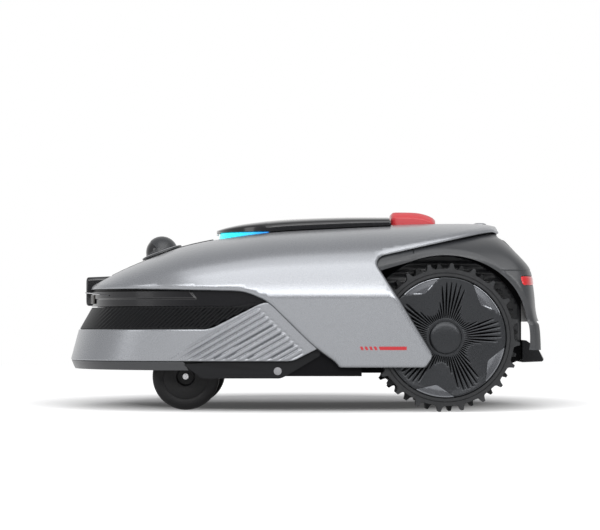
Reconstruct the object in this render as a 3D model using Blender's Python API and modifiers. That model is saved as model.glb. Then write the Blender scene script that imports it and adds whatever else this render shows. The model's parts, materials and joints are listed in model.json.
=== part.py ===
"""Robotic lawn mower, built as an assembly of separate pieces.

Units are metres and +Z is up. The machine drives towards -X, so its left side is -Y.
The origin is on the ground, under the middle of the machine.
"""

import math

import bmesh
import bpy
from mathutils import Matrix, Vector

# Clearance between neighbours, the step between faces that must not share a plane, and the reach of cutters
GAP = 0.0004
SEAM = 0.001
REACH_X = 0.40
REACH_Y = 0.30
REACH_Z = 0.32

# Body: half width at the side crease, its height, and how far the side tucks in below it
HALF_WIDTH = 0.218
CREASE_Z = 0.151
SIDE_TUCK = 0.010
SHELL_BOTTOM_Z = 0.0587
SHELL_WALL = 0.003

# Top shell: nose, tail, plan curve, section curve, and the height of its centre line along the machine
SHELL_NOSE_X = -0.308
SHELL_TAIL_X = 0.262
SHELL_STRAIGHT_X = -0.060
NOSE_POWER = 3.0
SIDE_POWER = 2.4
SHOULDER_RISE = 0.80
SHOULDER_LEAN = 0.16
SHOULDER_WIDTH = 0.72
SECTION_STEPS = 9
TOP_LINE = ((-0.308, 0.1640), (-0.276, 0.1799), (-0.247, 0.1939), (-0.180, 0.2203), (-0.146, 0.2289),
            (-0.125, 0.2328), (-0.053, 0.2435), (0.045, 0.2497), (0.113, 0.2528), (0.178, 0.2546),
            (0.240, 0.2540), (0.262, 0.2500))
SHELL_STATIONS = (-0.3075, -0.304, -0.297, -0.286, -0.270, -0.247, -0.215, -0.180, -0.146, -0.110, -0.053,
                  0.000, 0.060, 0.113, 0.178, 0.215, 0.240, 0.254, SHELL_TAIL_X)

# Side outlines of the shell's two cut-outs, as (x, z): under the hood, and around the wheel
HOOD_EDGE_Z = 0.1590
HOOD_NOSE_Z = 0.1675
FRONT_CUT = ((-REACH_X, HOOD_NOSE_Z), (-0.0834, HOOD_EDGE_Z), (-0.0545, 0.1457), (0.0098, 0.0824),
             (0.0453, SHELL_BOTTOM_Z), (0.0453, 0.0), (-REACH_X, 0.0))
FRONT_CUT_ROUNDING = 0.020
ARCH_CUT = ((0.1537, 0.0), (0.1537, SHELL_BOTTOM_Z), (0.1650, 0.0728), (0.0893, 0.1962), (0.0945, 0.2072),
            (0.2386, 0.2397), (0.2560, 0.2413), (REACH_X, 0.2413), (REACH_X, 0.0))
ARCH_CUT_ROUNDING = 0.014
OPENING_LOW_Z = 0.20

# Hood strip and rain sensor
HOOD_STRIP_HALF = (0.040, 0.037)
HOOD_STRIP_HEIGHT = 0.0008
RAIN_X = 0.241
RAIN_RADIUS = 0.0095
RAIN_HEIGHT = 0.0030

# Front bumper, grille and lip: height and nose position at the edges of each band
LIP_LOW = (0.0545, -0.3250)
BUMPER_LOW = (0.0665, -0.3302)
BUMPER_HIGH = (0.1086, -0.3189)
GRILLE_HIGH = (0.1380, -0.3020)
BUMPER_WALL = 0.0035
BUMPER_INSET = 0.0042
BUMPER_BACK_X = 0.024
BUMPER_OUTLINE = ((-REACH_X, BUMPER_LOW[0]), (-0.0215, BUMPER_LOW[0]), (0.0180, 0.0860), (-0.0420, 0.1440),
                  (-0.0600, 0.1440), (-0.1300, BUMPER_HIGH[0]), (-REACH_X, BUMPER_HIGH[0]))
BUMPER_ROUNDING = 0.010
GRILLE_LOW_Z = 0.1092
GRILLE_OUTLINE = ((-REACH_X, GRILLE_LOW_Z), (-0.1340, GRILLE_LOW_Z), (-0.0680, 0.1420), (-0.0760, 0.1420),
                  (-0.0960, GRILLE_HIGH[0]), (-REACH_X, GRILLE_HIGH[0]))
GRILLE_ROUNDING = 0.008
GRILLE_INSET = 0.0012
GRILLE_WALL = 0.003
LIP_INSET = 0.0008
LIP_WALL = 0.003
LIP_END_X = -0.1725
BAND_BACK_X = -0.050
GUIDE_Y = 0.060
GUIDE_Z = 0.1025
GUIDE_RADIUS = 0.0030
GUIDE_SOCKET_RADIUS = 0.0058
GUIDE_SOCKET_END_X = -0.2860

# Black fascia in the gap under the hood, its shelf, and the charge contacts on it
FASCIA_Z = (0.1392, 0.1588)
FASCIA_NOSE_X = -0.3026
FASCIA_HALF = 0.206
FASCIA_WALL = 0.004
FASCIA_END_X = -0.075
SHELF_Z = (0.148, 0.151)
SHELF_END_X = -0.118
CONTACT_Y = (0.062, 0.090)
CONTACT_Z = (0.1430, 0.1550)
CONTACT_HEIGHT = 0.0015

# Side plates under the shell
SIDE_PLATE = ((-0.1650, 0.0625), (-0.1396, 0.0440), (-0.0367, 0.0440), (-0.0297, 0.0472), (0.0159, 0.0744),
              (0.0159, 0.0900), (-0.1100, 0.0900), (-0.1250, 0.0655))
SIDE_PLATE_ROUNDING = 0.003
SIDE_PLATE_THICKNESS = 0.0024

# Rear shell: depth under the top shell's surface, rear end as (z, x), corners, legs and arch
REAR_INSET = 0.0055
REAR_END = ((0.060, 0.3190), (0.082, 0.3180), (0.1150, 0.3140), (0.1205, 0.3092), (0.134, 0.3058),
            (0.151, 0.3042), (0.170, 0.3022), (0.1865, 0.2997), (0.197, 0.2938), (0.233, 0.2633), (0.243, 0.2540))
REAR_LEVELS = (0.082, 0.1150, 0.1205, 0.134, 0.151, 0.170, 0.1865, 0.197, 0.210, 0.220, 0.228, 0.235)
REAR_TOP_Z = 0.2415
REAR_WALL = 0.0035
REAR_CORNER = 0.052
REAR_POWER = 5.0
REAR_FRONT_X = 0.090
REAR_OPEN_Z = 0.120
LEG_BOTTOM_Z = 0.0815
LEG_INNER_Y = 0.192
ARCH_RADIUS = 0.112

# Tail lights, rear panel and rear flap
TAIL_LIGHT_X = 0.2785
TAIL_LIGHT_Y = 0.120
TAIL_LIGHT_Z = (0.1670, 0.1790)
TAIL_LIGHT_HEIGHT = 0.0006
TAIL_LIGHT_DEPTH = 0.0030
PANEL_Z = (0.199, 0.232)
PANEL_HALF = 0.100
PANEL_HEIGHT = 0.0026
FLAP_HALF = 0.148
FLAP_ROOT_X = 0.2864
FLAP_TIP_X = 0.3302
FLAP_SWEEP = 0.108
FLAP_SECTION = ((0.0, 0.0940), (0.175, 0.0938), (0.75, 0.0828), (1.0, 0.0672), (0.93, 0.0655), (0.0, 0.0645))
FLAP_HOLLOW = ((0.14, 0.0600), (0.14, 0.0895), (0.20, 0.0893), (0.66, 0.0800), (0.84, 0.0600))
FLAP_END = 0.004

# Chassis tub: belly box, rounded front tray, rear block with its room, and brackets for the rear shell
TUB_WALL = 0.004
BELLY_Z = 0.047
BELLY_X = (-0.114, 0.070)
BELLY_HALF = 0.196
TUB_TOP_Z = 0.156
TUB_NOSE_X = -0.272
TUB_FRONT_HALF = 0.168
TUB_STRAIGHT_X = -0.125
TUB_FRONT_Z = 0.096
TUB_FRONT_STEPS = 12
TUB_REAR_X = 0.286
TUB_REAR_HALF = 0.133
TUB_REAR_SIDE = ((0.064, 0.050), (0.240, 0.050), (TUB_REAR_X, 0.068), (TUB_REAR_X, 0.187), (0.262, 0.213),
                 (0.064, 0.213))
TUB_REAR_ROOM = ((0.134, 0.054), (0.239, 0.054), (0.282, 0.0712), (0.282, 0.185), (0.258, 0.211),
                 (0.258, REACH_Z), (0.134, REACH_Z))
PASSAGE_X = (0.060, 0.140)
BRACKET_Y = (0.090, 0.110)
BRACKET_Z = (0.150, 0.165)
BRACKET_END_X = 0.2970
WELL_RADIUS = 0.118
WELL_ROOF_Z = 0.110
POCKET_WALL = 0.008
BOSS_X = (-0.090, 0.050)
BOSS_Y = 0.150
BOSS_RADIUS = 0.006
PILLAR_RADIUS = 0.008

# Drive wheels and their motors
WHEEL_X = 0.1805
WHEEL_RADIUS = 0.098
TYRE_BODY_RADIUS = 0.0903
TYRE_BORE_RADIUS = 0.0803
WHEEL_DISC_RADIUS = 0.0799
WHEEL_Y = (0.140, 0.199)
LUGS = 20
LUG_ROOT_ANGLE = math.radians(4.2)
LUG_TIP_ANGLE = math.radians(1.6)
LUG_PHASE = math.radians(-5.0)
DISC_RIM = 0.0740
DISC_DISH = 0.0062
DISC_BACK = 0.005
HUB_RADIUS = 0.0200
HUB_CAP_RADIUS = 0.0215
AXLE_RADIUS = 0.007
AXLE_HOLE_RADIUS = 0.012
AXLE_END_Y = 0.104
MOTOR_RADIUS = 0.033
MOTOR_Y = (0.055, 0.1285)

# Front casters: each fork holds its wheel from the inner side
CASTER_STEM_X = -0.183
CASTER_Y = 0.118
CASTER_TRAIL = 0.018
CASTER_RADIUS = 0.045
CASTER_HALF_WIDTH = 0.015
CASTER_RECESS_RADIUS = 0.0125
CASTER_STEM_RADIUS = 0.008
CASTER_STEM_TOP_Z = 0.118
CASTER_AXLE_RADIUS = 0.004
CASTER_FORK_Z = (0.0915, 0.0955)
CASTER_LEG_LOW_Z = 0.0370
CASTER_LEG = (0.0020, 0.0080)
BUSH_RADIUS = 0.0120
BUSH_FLANGE_RADIUS = 0.0150
BUSH_HEIGHT = 0.0080

# Cutting unit: disc with pivoting blades, motor, carrier, and the posts that it slides on
DISC_X = 0.010
DISC_RADIUS = 0.096
DISC_Z = (0.0640, 0.0680)
DISC_HUB_HEIGHT = 0.006
BLADES = 3
BLADE_START = math.radians(30.0)
BLADE_PIVOT = 0.084
BLADE_HEEL = 0.007
BLADE_LENGTH = 0.038
BLADE_WIDTH = 0.018
BLADE_Z = (0.0612, 0.0624)
BLADE_HOLE_RADIUS = 0.0028
STUD_RADIUS = 0.0024
STUD_HEAD_RADIUS = 0.0045
STUD_HEAD_Z = (0.0592, 0.0606)
CARRIER_RADIUS = 0.037
CARRIER_WALL = 0.003
CARRIER_CLEARANCE = 0.004
CARRIER_Z = (0.080, 0.157)
CARRIER_ARM_Z = (0.151, 0.156)
CARRIER_ARM_HALF = 0.011
BLADE_MOTOR_TOP_Z = 0.138
BLADE_SHAFT_RADIUS = 0.005
POST_X = (-0.055, 0.075)
POST_RADIUS = 0.004
POST_TOP_Z = 0.200
LIFT_MOTOR_HALF = 0.018
LIFT_MOTOR_Y = (0.016, 0.052)
LIFT_MOTOR_HEIGHT = 0.034

# Battery and main board
BATTERY_LOW = (0.2180, -0.1000, 0.0715)
BATTERY_HIGH = (0.2800, 0.1000, 0.1450)
BOARD_X = (-0.240, -0.210)
BOARD_HALF = 0.080
BOARD_TOP_Z = 0.109

# Lid, its hinge, and the light strip under its front
LID_NOSE_X = -0.128
LID_STRAIGHT_X = -0.020
LID_REAR_X = 0.113
LID_HALF = 0.095
LID_POWER = 2.3
LID_WALL = 0.003
LID_TOP = ((-0.128, 0.2458), (-0.110, 0.2503), (-0.085, 0.2548), (-0.036, 0.2600), (0.044, 0.2632),
           (0.113, 0.2632))
LID_STATIONS = (-0.1276, -0.1250, -0.1200, -0.1120, -0.0980, -0.0800, -0.0560, -0.0530, -0.0200, 0.0200,
                0.0700, LID_REAR_X)
LID_HOLLOW_X = -0.110
LID_FRONT_EDGE = ((-0.128, 0.2421), (-0.054, 0.2423))
LID_OVERLAP = 0.0020
LID_LIFT = 0.0010
LID_HINGE = (-0.1266, 0.2404)
LID_HINGE_RADIUS = 0.0012
LID_HINGE_HALF = 0.014
STRIP_END_X = -0.054
STRIP_Z = (0.2290, 0.2416)
STRIP_INSET = (0.0040, 0.0090)
PIN_GROOVE_Z = 0.2384
PIN_GROOVE_X = -0.1240

# Control deck under the lid, its screen and keys
DECK_FLOOR_Z = 0.222
DECK_TOP_Z = 0.236
DECK_RECESS_Z = 0.228
DECK_INSET = 0.0095
DECK_RECESS_INSET = 0.0170
FLANGE_HALF = 0.116
FLANGE_TOP_Z = 0.2345
SCREEN_X = (-0.030, 0.044)
SCREEN_HALF = 0.040
SCREEN_THICKNESS = 0.004
KEYS = (("power", -0.030), ("start", 0.0), ("home", 0.030))
KEY_X = 0.074
KEY_RADIUS = 0.007
KEY_CLEARANCE = 0.0006
KEY_HEIGHT = 0.0030
KEY_DEPTH = 0.0035

# Stop button and the switch under it
STOP_X = (0.1155, 0.1765)
STOP_HALF = 0.046
STOP_TOP_HALF = 0.034
STOP_TOP_Z = (0.2708, 0.2632)
STOP_EDGE_DROP = 0.0085
STOP_SKIRT_Z = 0.2465
STOP_HOLLOW_Z = 0.2545
STOP_WALL = (0.004, 0.010)
STOP_ROUNDING = 0.006
STOP_TRAVEL = 0.004
SWITCH_RADIUS = 0.008

# LiDAR: its axis leans forward with the slope of the hood
LIDAR_X = -0.2035
LIDAR_LEAN = math.radians(20.0)
LIDAR_RADIUS = 0.0227
LIDAR_RISE = 0.0043
LIDAR_WALL = 0.002
LIDAR_RIM = 0.029
LIDAR_NECK = 0.0255
LIDAR_SEAT = 0.0055

# Camera housing at the nose, its window and visor
CAMERA_X = (-0.3070, -0.2727)
CAMERA_HALF = 0.046
CAMERA_Z = (0.1405, 0.1816)
CAMERA_ROUNDING = 0.006
WINDOW_HALF = 0.0356
WINDOW_Z = (0.1639, 0.1771)
WINDOW_DEPTH = 0.0016
VISOR_REACH = 0.007
VISOR_HALF = (0.030, 0.038)
VISOR_Z = (0.1575, 0.1605)

PARTS_NAME = "robotic_lawn_mower"
CUTTERS_NAME = "cutters"
LEFT_RIGHT = (("left", -1), ("right", 1))


def clear_scene():
    for item in list(bpy.data.objects):
        bpy.data.objects.remove(item, do_unlink=True)


def new_collection(name):
    group = bpy.data.collections.new(name)
    bpy.context.scene.collection.children.link(group)
    return group


clear_scene()
PARTS = new_collection(PARTS_NAME)
CUTTERS = new_collection(CUTTERS_NAME)


def finish(name, colour, roughness, metallic=0.0):
    made = bpy.data.materials.new(name)
    made.use_nodes = True
    shader = made.node_tree.nodes["Principled BSDF"]
    shader.inputs["Base Color"].default_value = (*colour, 1.0)
    shader.inputs["Roughness"].default_value = roughness
    shader.inputs["Metallic"].default_value = metallic
    return made


SILVER = finish("satin_silver", (0.42, 0.43, 0.44), 0.35, 0.7)
DARK_GREY = finish("dark_grey_plastic", (0.045, 0.047, 0.050), 0.45)
BLACK = finish("black_plastic", (0.015, 0.015, 0.016), 0.5)
GLOSS_BLACK = finish("gloss_black", (0.008, 0.008, 0.009), 0.08)
RUBBER = finish("tyre_rubber", (0.030, 0.030, 0.031), 0.75)
RED = finish("red_plastic", (0.52, 0.035, 0.040), 0.4)
TAIL_RED = finish("tail_light_red", (0.60, 0.020, 0.025), 0.15)
CYAN = finish("light_strip_cyan", (0.02, 0.62, 0.80), 0.3)
STEEL = finish("brushed_steel", (0.50, 0.50, 0.50), 0.3, 1.0)
BRASS = finish("contact_brass", (0.60, 0.42, 0.16), 0.3, 1.0)
GREEN = finish("board_green", (0.02, 0.12, 0.05), 0.5)
GREY = finish("mid_grey_plastic", (0.20, 0.20, 0.21), 0.5)


def link(name, mesh, material):
    item = bpy.data.objects.new(name, mesh)
    PARTS.objects.link(item)
    if material:
        mesh.materials.clear()
        mesh.materials.append(material)
    mesh.shade_smooth()
    mesh.set_sharp_from_angle(angle=math.radians(35))
    return item


def from_bmesh(name, shape, material=None):
    bmesh.ops.recalc_face_normals(shape, faces=shape.faces)
    mesh = bpy.data.meshes.new(name)
    shape.to_mesh(mesh)
    shape.free()
    return link(name, mesh, material)


def as_cutter(item):
    PARTS.objects.unlink(item)
    CUTTERS.objects.link(item)
    item.hide_render = True
    item.display_type = "WIRE"


def boolean(item, tool, operation):
    step = item.modifiers.new(operation.lower(), "BOOLEAN")
    step.operation = operation
    step.solver = "EXACT"
    step.object = tool
    if tool.name not in CUTTERS.objects:
        as_cutter(tool)


def cut(item, *tools):
    for tool in tools:
        boolean(item, tool, "DIFFERENCE")


def fuse(item, *tools):
    for tool in tools:
        boolean(item, tool, "UNION")


def keep_inside(item, tool):
    boolean(item, tool, "INTERSECT")


def box(name, low, high, material=None, bevel=0.0):
    shape = bmesh.new()
    bmesh.ops.create_cube(shape, size=1.0)
    size = Vector(high) - Vector(low)
    bmesh.ops.scale(shape, vec=size, verts=shape.verts)
    bmesh.ops.translate(shape, vec=(Vector(low) + Vector(high)) / 2, verts=shape.verts)
    item = from_bmesh(name, shape, material)
    if bevel:
        rounding = item.modifiers.new("rounded_edges", "BEVEL")
        rounding.width = bevel
        rounding.segments = 1
    return item


AXIS_TURN = {
    "X": Matrix.Rotation(math.pi / 2, 4, "Y"),
    "Y": Matrix.Rotation(-math.pi / 2, 4, "X"),
    "Z": Matrix(),
}


def rod(name, radius, start, end, at, axis="Z", material=None, segments=24, end_radius=None):
    """A round bar along an axis, from start to end, through the point at (the two other coordinates)."""
    shape = bmesh.new()
    far_radius = radius if end_radius is None else end_radius
    bmesh.ops.create_cone(shape, cap_ends=True, segments=segments, radius1=radius, radius2=far_radius,
                          depth=end - start)
    middle = (start + end) / 2
    centre = {"X": (middle, *at), "Y": (at[0], middle, at[1]), "Z": (*at, middle)}[axis]
    bmesh.ops.transform(shape, matrix=Matrix.Translation(centre) @ AXIS_TURN[axis], verts=shape.verts)
    return from_bmesh(name, shape, material)


def outline_plate(name, outline, low, high, plane, material=None):
    """A flat outline with a thickness: plane XZ is extruded along Y, plane XY along Z."""
    curve = bpy.data.curves.new(name, "CURVE")
    curve.dimensions = "2D"
    curve.fill_mode = "BOTH"
    curve.extrude = (high - low) / 2
    spline = curve.splines.new("POLY")
    spline.points.add(len(outline) - 1)
    for point, (across, up) in zip(spline.points, outline):
        point.co = (across, up, 0.0, 1.0)
    spline.use_cyclic_u = True
    drawn = bpy.data.objects.new(name + "_outline", curve)
    PARTS.objects.link(drawn)
    middle = (low + high) / 2
    if plane == "XZ":
        drawn.rotation_euler = (math.pi / 2, 0.0, 0.0)
        drawn.location = (0.0, middle, 0.0)
    else:
        drawn.location = (0.0, 0.0, middle)
    view = bpy.context.view_layer
    view.update()
    mesh = bpy.data.meshes.new_from_object(drawn.evaluated_get(bpy.context.evaluated_depsgraph_get()))
    place = drawn.matrix_world.copy()
    bpy.data.objects.remove(drawn, do_unlink=True)
    shape = bmesh.new()
    shape.from_mesh(mesh)
    bpy.data.meshes.remove(mesh)
    bmesh.ops.remove_doubles(shape, verts=shape.verts, dist=0.00001)
    bmesh.ops.transform(shape, matrix=place, verts=shape.verts)
    return from_bmesh(name, shape, material)


def turned(name, profile, material=None, steps=32, place=None):
    """A profile of (radius, height) points, listed from the top down, turned about its own Z axis."""
    mesh = bpy.data.meshes.new(name)
    edges = [(i, i + 1) for i in range(len(profile) - 1)]
    if profile[0][0] > 0.0:
        edges.append((len(profile) - 1, 0))
    mesh.from_pydata([(radius, 0.0, height) for radius, height in profile], edges, [])
    item = link(name, mesh, material)
    if place is not None:
        item.matrix_world = place
    lathe = item.modifiers.new("lathe", "SCREW")
    lathe.steps = steps
    lathe.render_steps = steps
    lathe.use_merge_vertices = True
    lathe.merge_threshold = 0.00001
    return item


def loft(name, rings, material=None):
    """A closed solid through rings of equal point count, capped at both ends."""
    shape = bmesh.new()
    rows = [[shape.verts.new(point) for point in ring] for ring in rings]
    count = len(rows[0])
    for near, far in zip(rows, rows[1:]):
        for i in range(count):
            j = (i + 1) % count
            shape.faces.new((near[i], near[j], far[j], far[i]))
    shape.faces.new(rows[0])
    shape.faces.new(rows[-1])
    return from_bmesh(name, shape, material)


def between(points, place):
    """A smooth curve through (place, value) points, read at one place."""
    if place <= points[0][0]:
        return points[0][1]
    if place >= points[-1][0]:
        return points[-1][1]
    k = max(i for i in range(len(points) - 1) if points[i][0] <= place)

    def slope(i):
        low = points[max(i - 1, 0)]
        high = points[min(i + 1, len(points) - 1)]
        return (high[1] - low[1]) / (high[0] - low[0])

    (x0, v0), (x1, v1) = points[k], points[k + 1]
    span = x1 - x0
    t = (place - x0) / span
    return (v0 * (1 + 2 * t) * (1 - t) ** 2 + slope(k) * span * t * (1 - t) ** 2
            + v1 * t * t * (3 - 2 * t) + slope(k + 1) * span * t * t * (t - 1))


def spread(low, high, count):
    return [low + (high - low) * i / (count - 1) for i in range(count)]


def on_side(side, near, far):
    """Two distances from the centre line as a low and a high y on one side of the machine."""
    return sorted((side * near, side * far))


def cubic(handles, t):
    """A point of a cubic curve with four (y, z) handles."""
    weights = ((1 - t) ** 3, 3 * t * (1 - t) ** 2, 3 * t * t * (1 - t), t ** 3)
    return tuple(sum(w * handle[k] for w, handle in zip(weights, handles)) for k in (0, 1))


def mirrored(x, half):
    """A cross ring at x from its points (y, z) on one side, the last of them on the centre line."""
    ring = [Vector((x, y, z)) for y, z in half]
    return ring + [Vector((x, -y, z)) for y, z in reversed(half[:-1])]


def rounded(outline, radius, steps=4):
    """The outline with every corner replaced by an arc of about the given radius."""
    points = []
    count = len(outline)
    most = 0.45
    for i, corner in enumerate(outline):
        here = Vector(corner)
        back = Vector(outline[i - 1]) - here
        ahead = Vector(outline[(i + 1) % count]) - here
        reach = min(radius, back.length * most, ahead.length * most)
        start = here + back.normalized() * reach
        end = here + ahead.normalized() * reach
        for t in spread(0.0, 1.0, steps + 1):
            points.append(tuple(start * (1 - t) ** 2 + here * 2 * t * (1 - t) + end * t * t))
    return points


# Body shape

def shell_half(x, inset=0.0):
    """Half width of the body at the crease."""
    nose = SHELL_NOSE_X + inset
    t = max(0.0, (SHELL_STRAIGHT_X - x) / (SHELL_STRAIGHT_X - nose))
    return (HALF_WIDTH - inset) * max(1.0 - t ** NOSE_POWER, 0.0) ** (1.0 / SIDE_POWER)


def side_half(z):
    """Half width of the straight side at a height below the crease."""
    return HALF_WIDTH - SIDE_TUCK * max(0.0, (CREASE_Z - z) / (CREASE_Z - SHELL_BOTTOM_Z))


def shell_upper(x, t, inset=0.0):
    """A point (y, z) of the body above the crease: t is 0 at the crease and 1 at the centre line."""
    half = shell_half(x, inset)
    top = between(TOP_LINE, x) - inset
    rise = (top - CREASE_Z) * SHOULDER_RISE
    shoulder = (half - SHOULDER_LEAN * rise, CREASE_Z + rise)
    return cubic(((half, CREASE_Z), shoulder, (half * SHOULDER_WIDTH, top), (0.0, top)), t)


def shell_height(x, y):
    """Height of the body above a point of the plan."""
    low, high = 0.0, 1.0
    for _ in range(40):
        t = (low + high) / 2
        if shell_upper(x, t)[0] > abs(y):
            low = t
        else:
            high = t
    return shell_upper(x, low)[1]


def shell_ring(x, inset, bottom):
    side = [shell_upper(x, t, inset) for t in spread(0.0, 1.0, SECTION_STEPS)]
    tuck = SIDE_TUCK * (CREASE_Z - bottom) / (CREASE_Z - SHELL_BOTTOM_Z)
    foot = max(side[0][0] - tuck, SHELL_WALL + SEAM)
    return mirrored(x, [(foot, bottom)] + side)


def shell_solid(name, inset=0.0, bottom=SHELL_BOTTOM_Z, material=None):
    """The whole body as a closed form; an inset one ends past the tail, so that it opens the shell there."""
    stations = [max(SHELL_NOSE_X + inset + SEAM / 2, x) if x < 0 else x for x in SHELL_STATIONS]
    if inset:
        stations[-1] += 10 * SEAM
    return loft(name, [shell_ring(x, inset, bottom) for x in stations], material)


def plan_ring(z, nose_x, half, back_x, inset=0.0, straight_x=SHELL_STRAIGHT_X,
              powers=(NOSE_POWER, SIDE_POWER), steps=18):
    """A level outline: a rounded end at nose_x, straight sides, and a flat back at back_x."""
    reach = nose_x - straight_x
    reach -= inset * math.copysign(1.0, reach)
    points = []
    for turn in spread(-math.pi / 2, math.pi / 2, steps + 1):
        along = abs(math.cos(turn)) ** (2.0 / powers[0])
        across = abs(math.sin(turn)) ** (2.0 / powers[1])
        points.append(Vector((straight_x + reach * along, math.copysign((half - inset) * across, turn), z)))
    points.append(Vector((back_x, half - inset, z)))
    points.insert(0, Vector((back_x, -(half - inset), z)))
    return points


def end_at(y, nose_x, half, straight_x):
    """Where a level outline with this nose, half width and straight side ends, at a distance across."""
    return straight_x + (nose_x - straight_x) * (1.0 - (y / half) ** SIDE_POWER) ** (1.0 / NOSE_POWER)


def across(name, outline):
    """A cutter with a side outline, right through the machine from left to right."""
    return outline_plate(name, outline, -REACH_Y, REACH_Y, "XZ")


def punch(name, outline):
    """A cutter with a level outline, through the top of the body."""
    return outline_plate(name, outline, OPENING_LOW_Z, REACH_Z, "XY")


# Chassis tub, open at the top, with the blade well in its belly

def tub_front_ring(z, back_x, inset=0.0):
    return plan_ring(z, TUB_NOSE_X, TUB_FRONT_HALF, back_x, inset, TUB_STRAIGHT_X, steps=TUB_FRONT_STEPS)


def build_tub():
    tub = box("chassis_tub", (BELLY_X[0], -BELLY_HALF, BELLY_Z), (BELLY_X[1], BELLY_HALF, TUB_TOP_Z), BLACK)
    rear = outline_plate("tub_rear", TUB_REAR_SIDE, -TUB_REAR_HALF, TUB_REAR_HALF, "XZ")
    lap_x = BELLY_X[0] + 2 * TUB_WALL
    front = loft("tub_front", [tub_front_ring(z, lap_x) for z in (TUB_FRONT_Z, TUB_TOP_Z - SEAM)])
    fuse(tub, rear, front)
    for _, side in LEFT_RIGHT:
        low_y, high_y = on_side(side, *BRACKET_Y)
        fuse(tub, box("tub_bracket", (TUB_REAR_X - 2 * SEAM, low_y, BRACKET_Z[0]),
                      (BRACKET_END_X, high_y, BRACKET_Z[1])))
    hollow_tub(tub)
    pillars = []
    for _, side in LEFT_RIGHT:
        low_y, high_y = on_side(side, WELL_RADIUS + POCKET_WALL, BELLY_HALF - TUB_WALL - SEAM / 2)
        cut(tub, box("side_pocket", (BELLY_X[0] + TUB_WALL + SEAM, low_y, BELLY_Z + TUB_WALL),
                     (BELLY_X[1] - TUB_WALL - 2 * SEAM, high_y, REACH_Z)))
        for x in BOSS_X:
            pillars.append(rod("tub_pillar", PILLAR_RADIUS, BELLY_Z + TUB_WALL - SEAM, TUB_TOP_Z + SEAM / 2,
                               (x, side * BOSS_Y), segments=12))
        wall = on_side(side, TUB_REAR_HALF - 0.02, TUB_REAR_HALF + 0.02)
        cut(tub, rod("axle_hole", AXLE_HOLE_RADIUS, *wall, (WHEEL_X, WHEEL_RADIUS), "Y"))
        cut(tub, rod("stem_hole", BUSH_RADIUS + GAP, TUB_FRONT_Z - 0.01, TUB_FRONT_Z + 0.02,
                     (CASTER_STEM_X, side * CASTER_Y)))
    fuse(tub, *pillars)
    cut(tub, rod("blade_well", WELL_RADIUS, BELLY_Z - 0.01, WELL_ROOF_Z, (DISC_X, 0.0), segments=48))
    cut(tub, rod("carrier_hole", CARRIER_RADIUS + CARRIER_CLEARANCE, WELL_ROOF_Z - 0.02, WELL_ROOF_Z + 0.02,
                 (DISC_X, 0.0), segments=32))


def hollow_tub(tub):
    """Open rooms in the front tray, over the blade well, in the rear block, and a passage between them."""
    floor_z = WELL_ROOF_Z + TUB_WALL
    lap_x = BELLY_X[0] + 5 * TUB_WALL
    front_z = (TUB_FRONT_Z + TUB_WALL, REACH_Z)
    front_room = loft("front_room", [tub_front_ring(z, lap_x, TUB_WALL) for z in front_z])
    middle_room = box("middle_room", (BELLY_X[0] + TUB_WALL, -BELLY_HALF + TUB_WALL, floor_z),
                      (BELLY_X[1] - TUB_WALL - SEAM, BELLY_HALF - TUB_WALL, REACH_Z - SEAM))
    room = TUB_REAR_HALF - TUB_WALL
    passage = room - SEAM
    rear_passage = box("rear_passage", (PASSAGE_X[0], -passage, floor_z + SEAM / 2),
                       (PASSAGE_X[1], passage, REACH_Z - 2 * SEAM))
    rear_room = outline_plate("rear_room", TUB_REAR_ROOM, -room, room, "XZ")
    cut(tub, front_room, middle_room, rear_passage, rear_room)


# Silver top shell

def camera_notch(name):
    return box(name, (-REACH_X, -CAMERA_HALF - GAP, CAMERA_Z[0] - GAP),
               (CAMERA_X[1] + GAP, CAMERA_HALF + GAP, REACH_Z))


def lidar_place():
    foot = Vector((LIDAR_X, 0.0, between(TOP_LINE, LIDAR_X)))
    return Matrix.Translation(foot) @ Matrix.Rotation(-LIDAR_LEAN, 4, "Y")


def lidar_hole(name):
    item = rod(name, LIDAR_NECK + GAP, -LIDAR_RIM, LIDAR_RIM, (0.0, 0.0), segments=32)
    item.data.transform(lidar_place())
    return item


def stop_outline(margin):
    low_x = STOP_X[0] - margin
    high_x = STOP_X[1] + margin
    half = STOP_HALF + margin
    return rounded(((low_x, -half), (high_x, -half), (high_x, half), (low_x, half)), STOP_ROUNDING)


def build_top_shell():
    shell = shell_solid("top_shell", material=SILVER)
    cut(shell, shell_solid("shell_inside", SHELL_WALL, SHELL_BOTTOM_Z - 10 * SEAM))
    for _, side in LEFT_RIGHT:
        for x in BOSS_X:
            top = shell_height(x, BOSS_Y) - 2 * SEAM
            fuse(shell, rod("shell_boss", BOSS_RADIUS, TUB_TOP_Z + SEAM / 2 + GAP, top, (x, side * BOSS_Y),
                            segments=12))
    cut(shell, across("front_cut", rounded(FRONT_CUT, FRONT_CUT_ROUNDING)))
    cut(shell, across("arch_cut", rounded(ARCH_CUT, ARCH_CUT_ROUNDING)))
    cut(shell, punch("lid_opening", lid_plan(1.5 * SEAM, LID_REAR_X + SEAM / 2)))
    cut(shell, punch("stop_opening", stop_outline(SEAM)))
    cut(shell, camera_notch("nose_notch"), lidar_hole("lidar_hole"))


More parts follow.
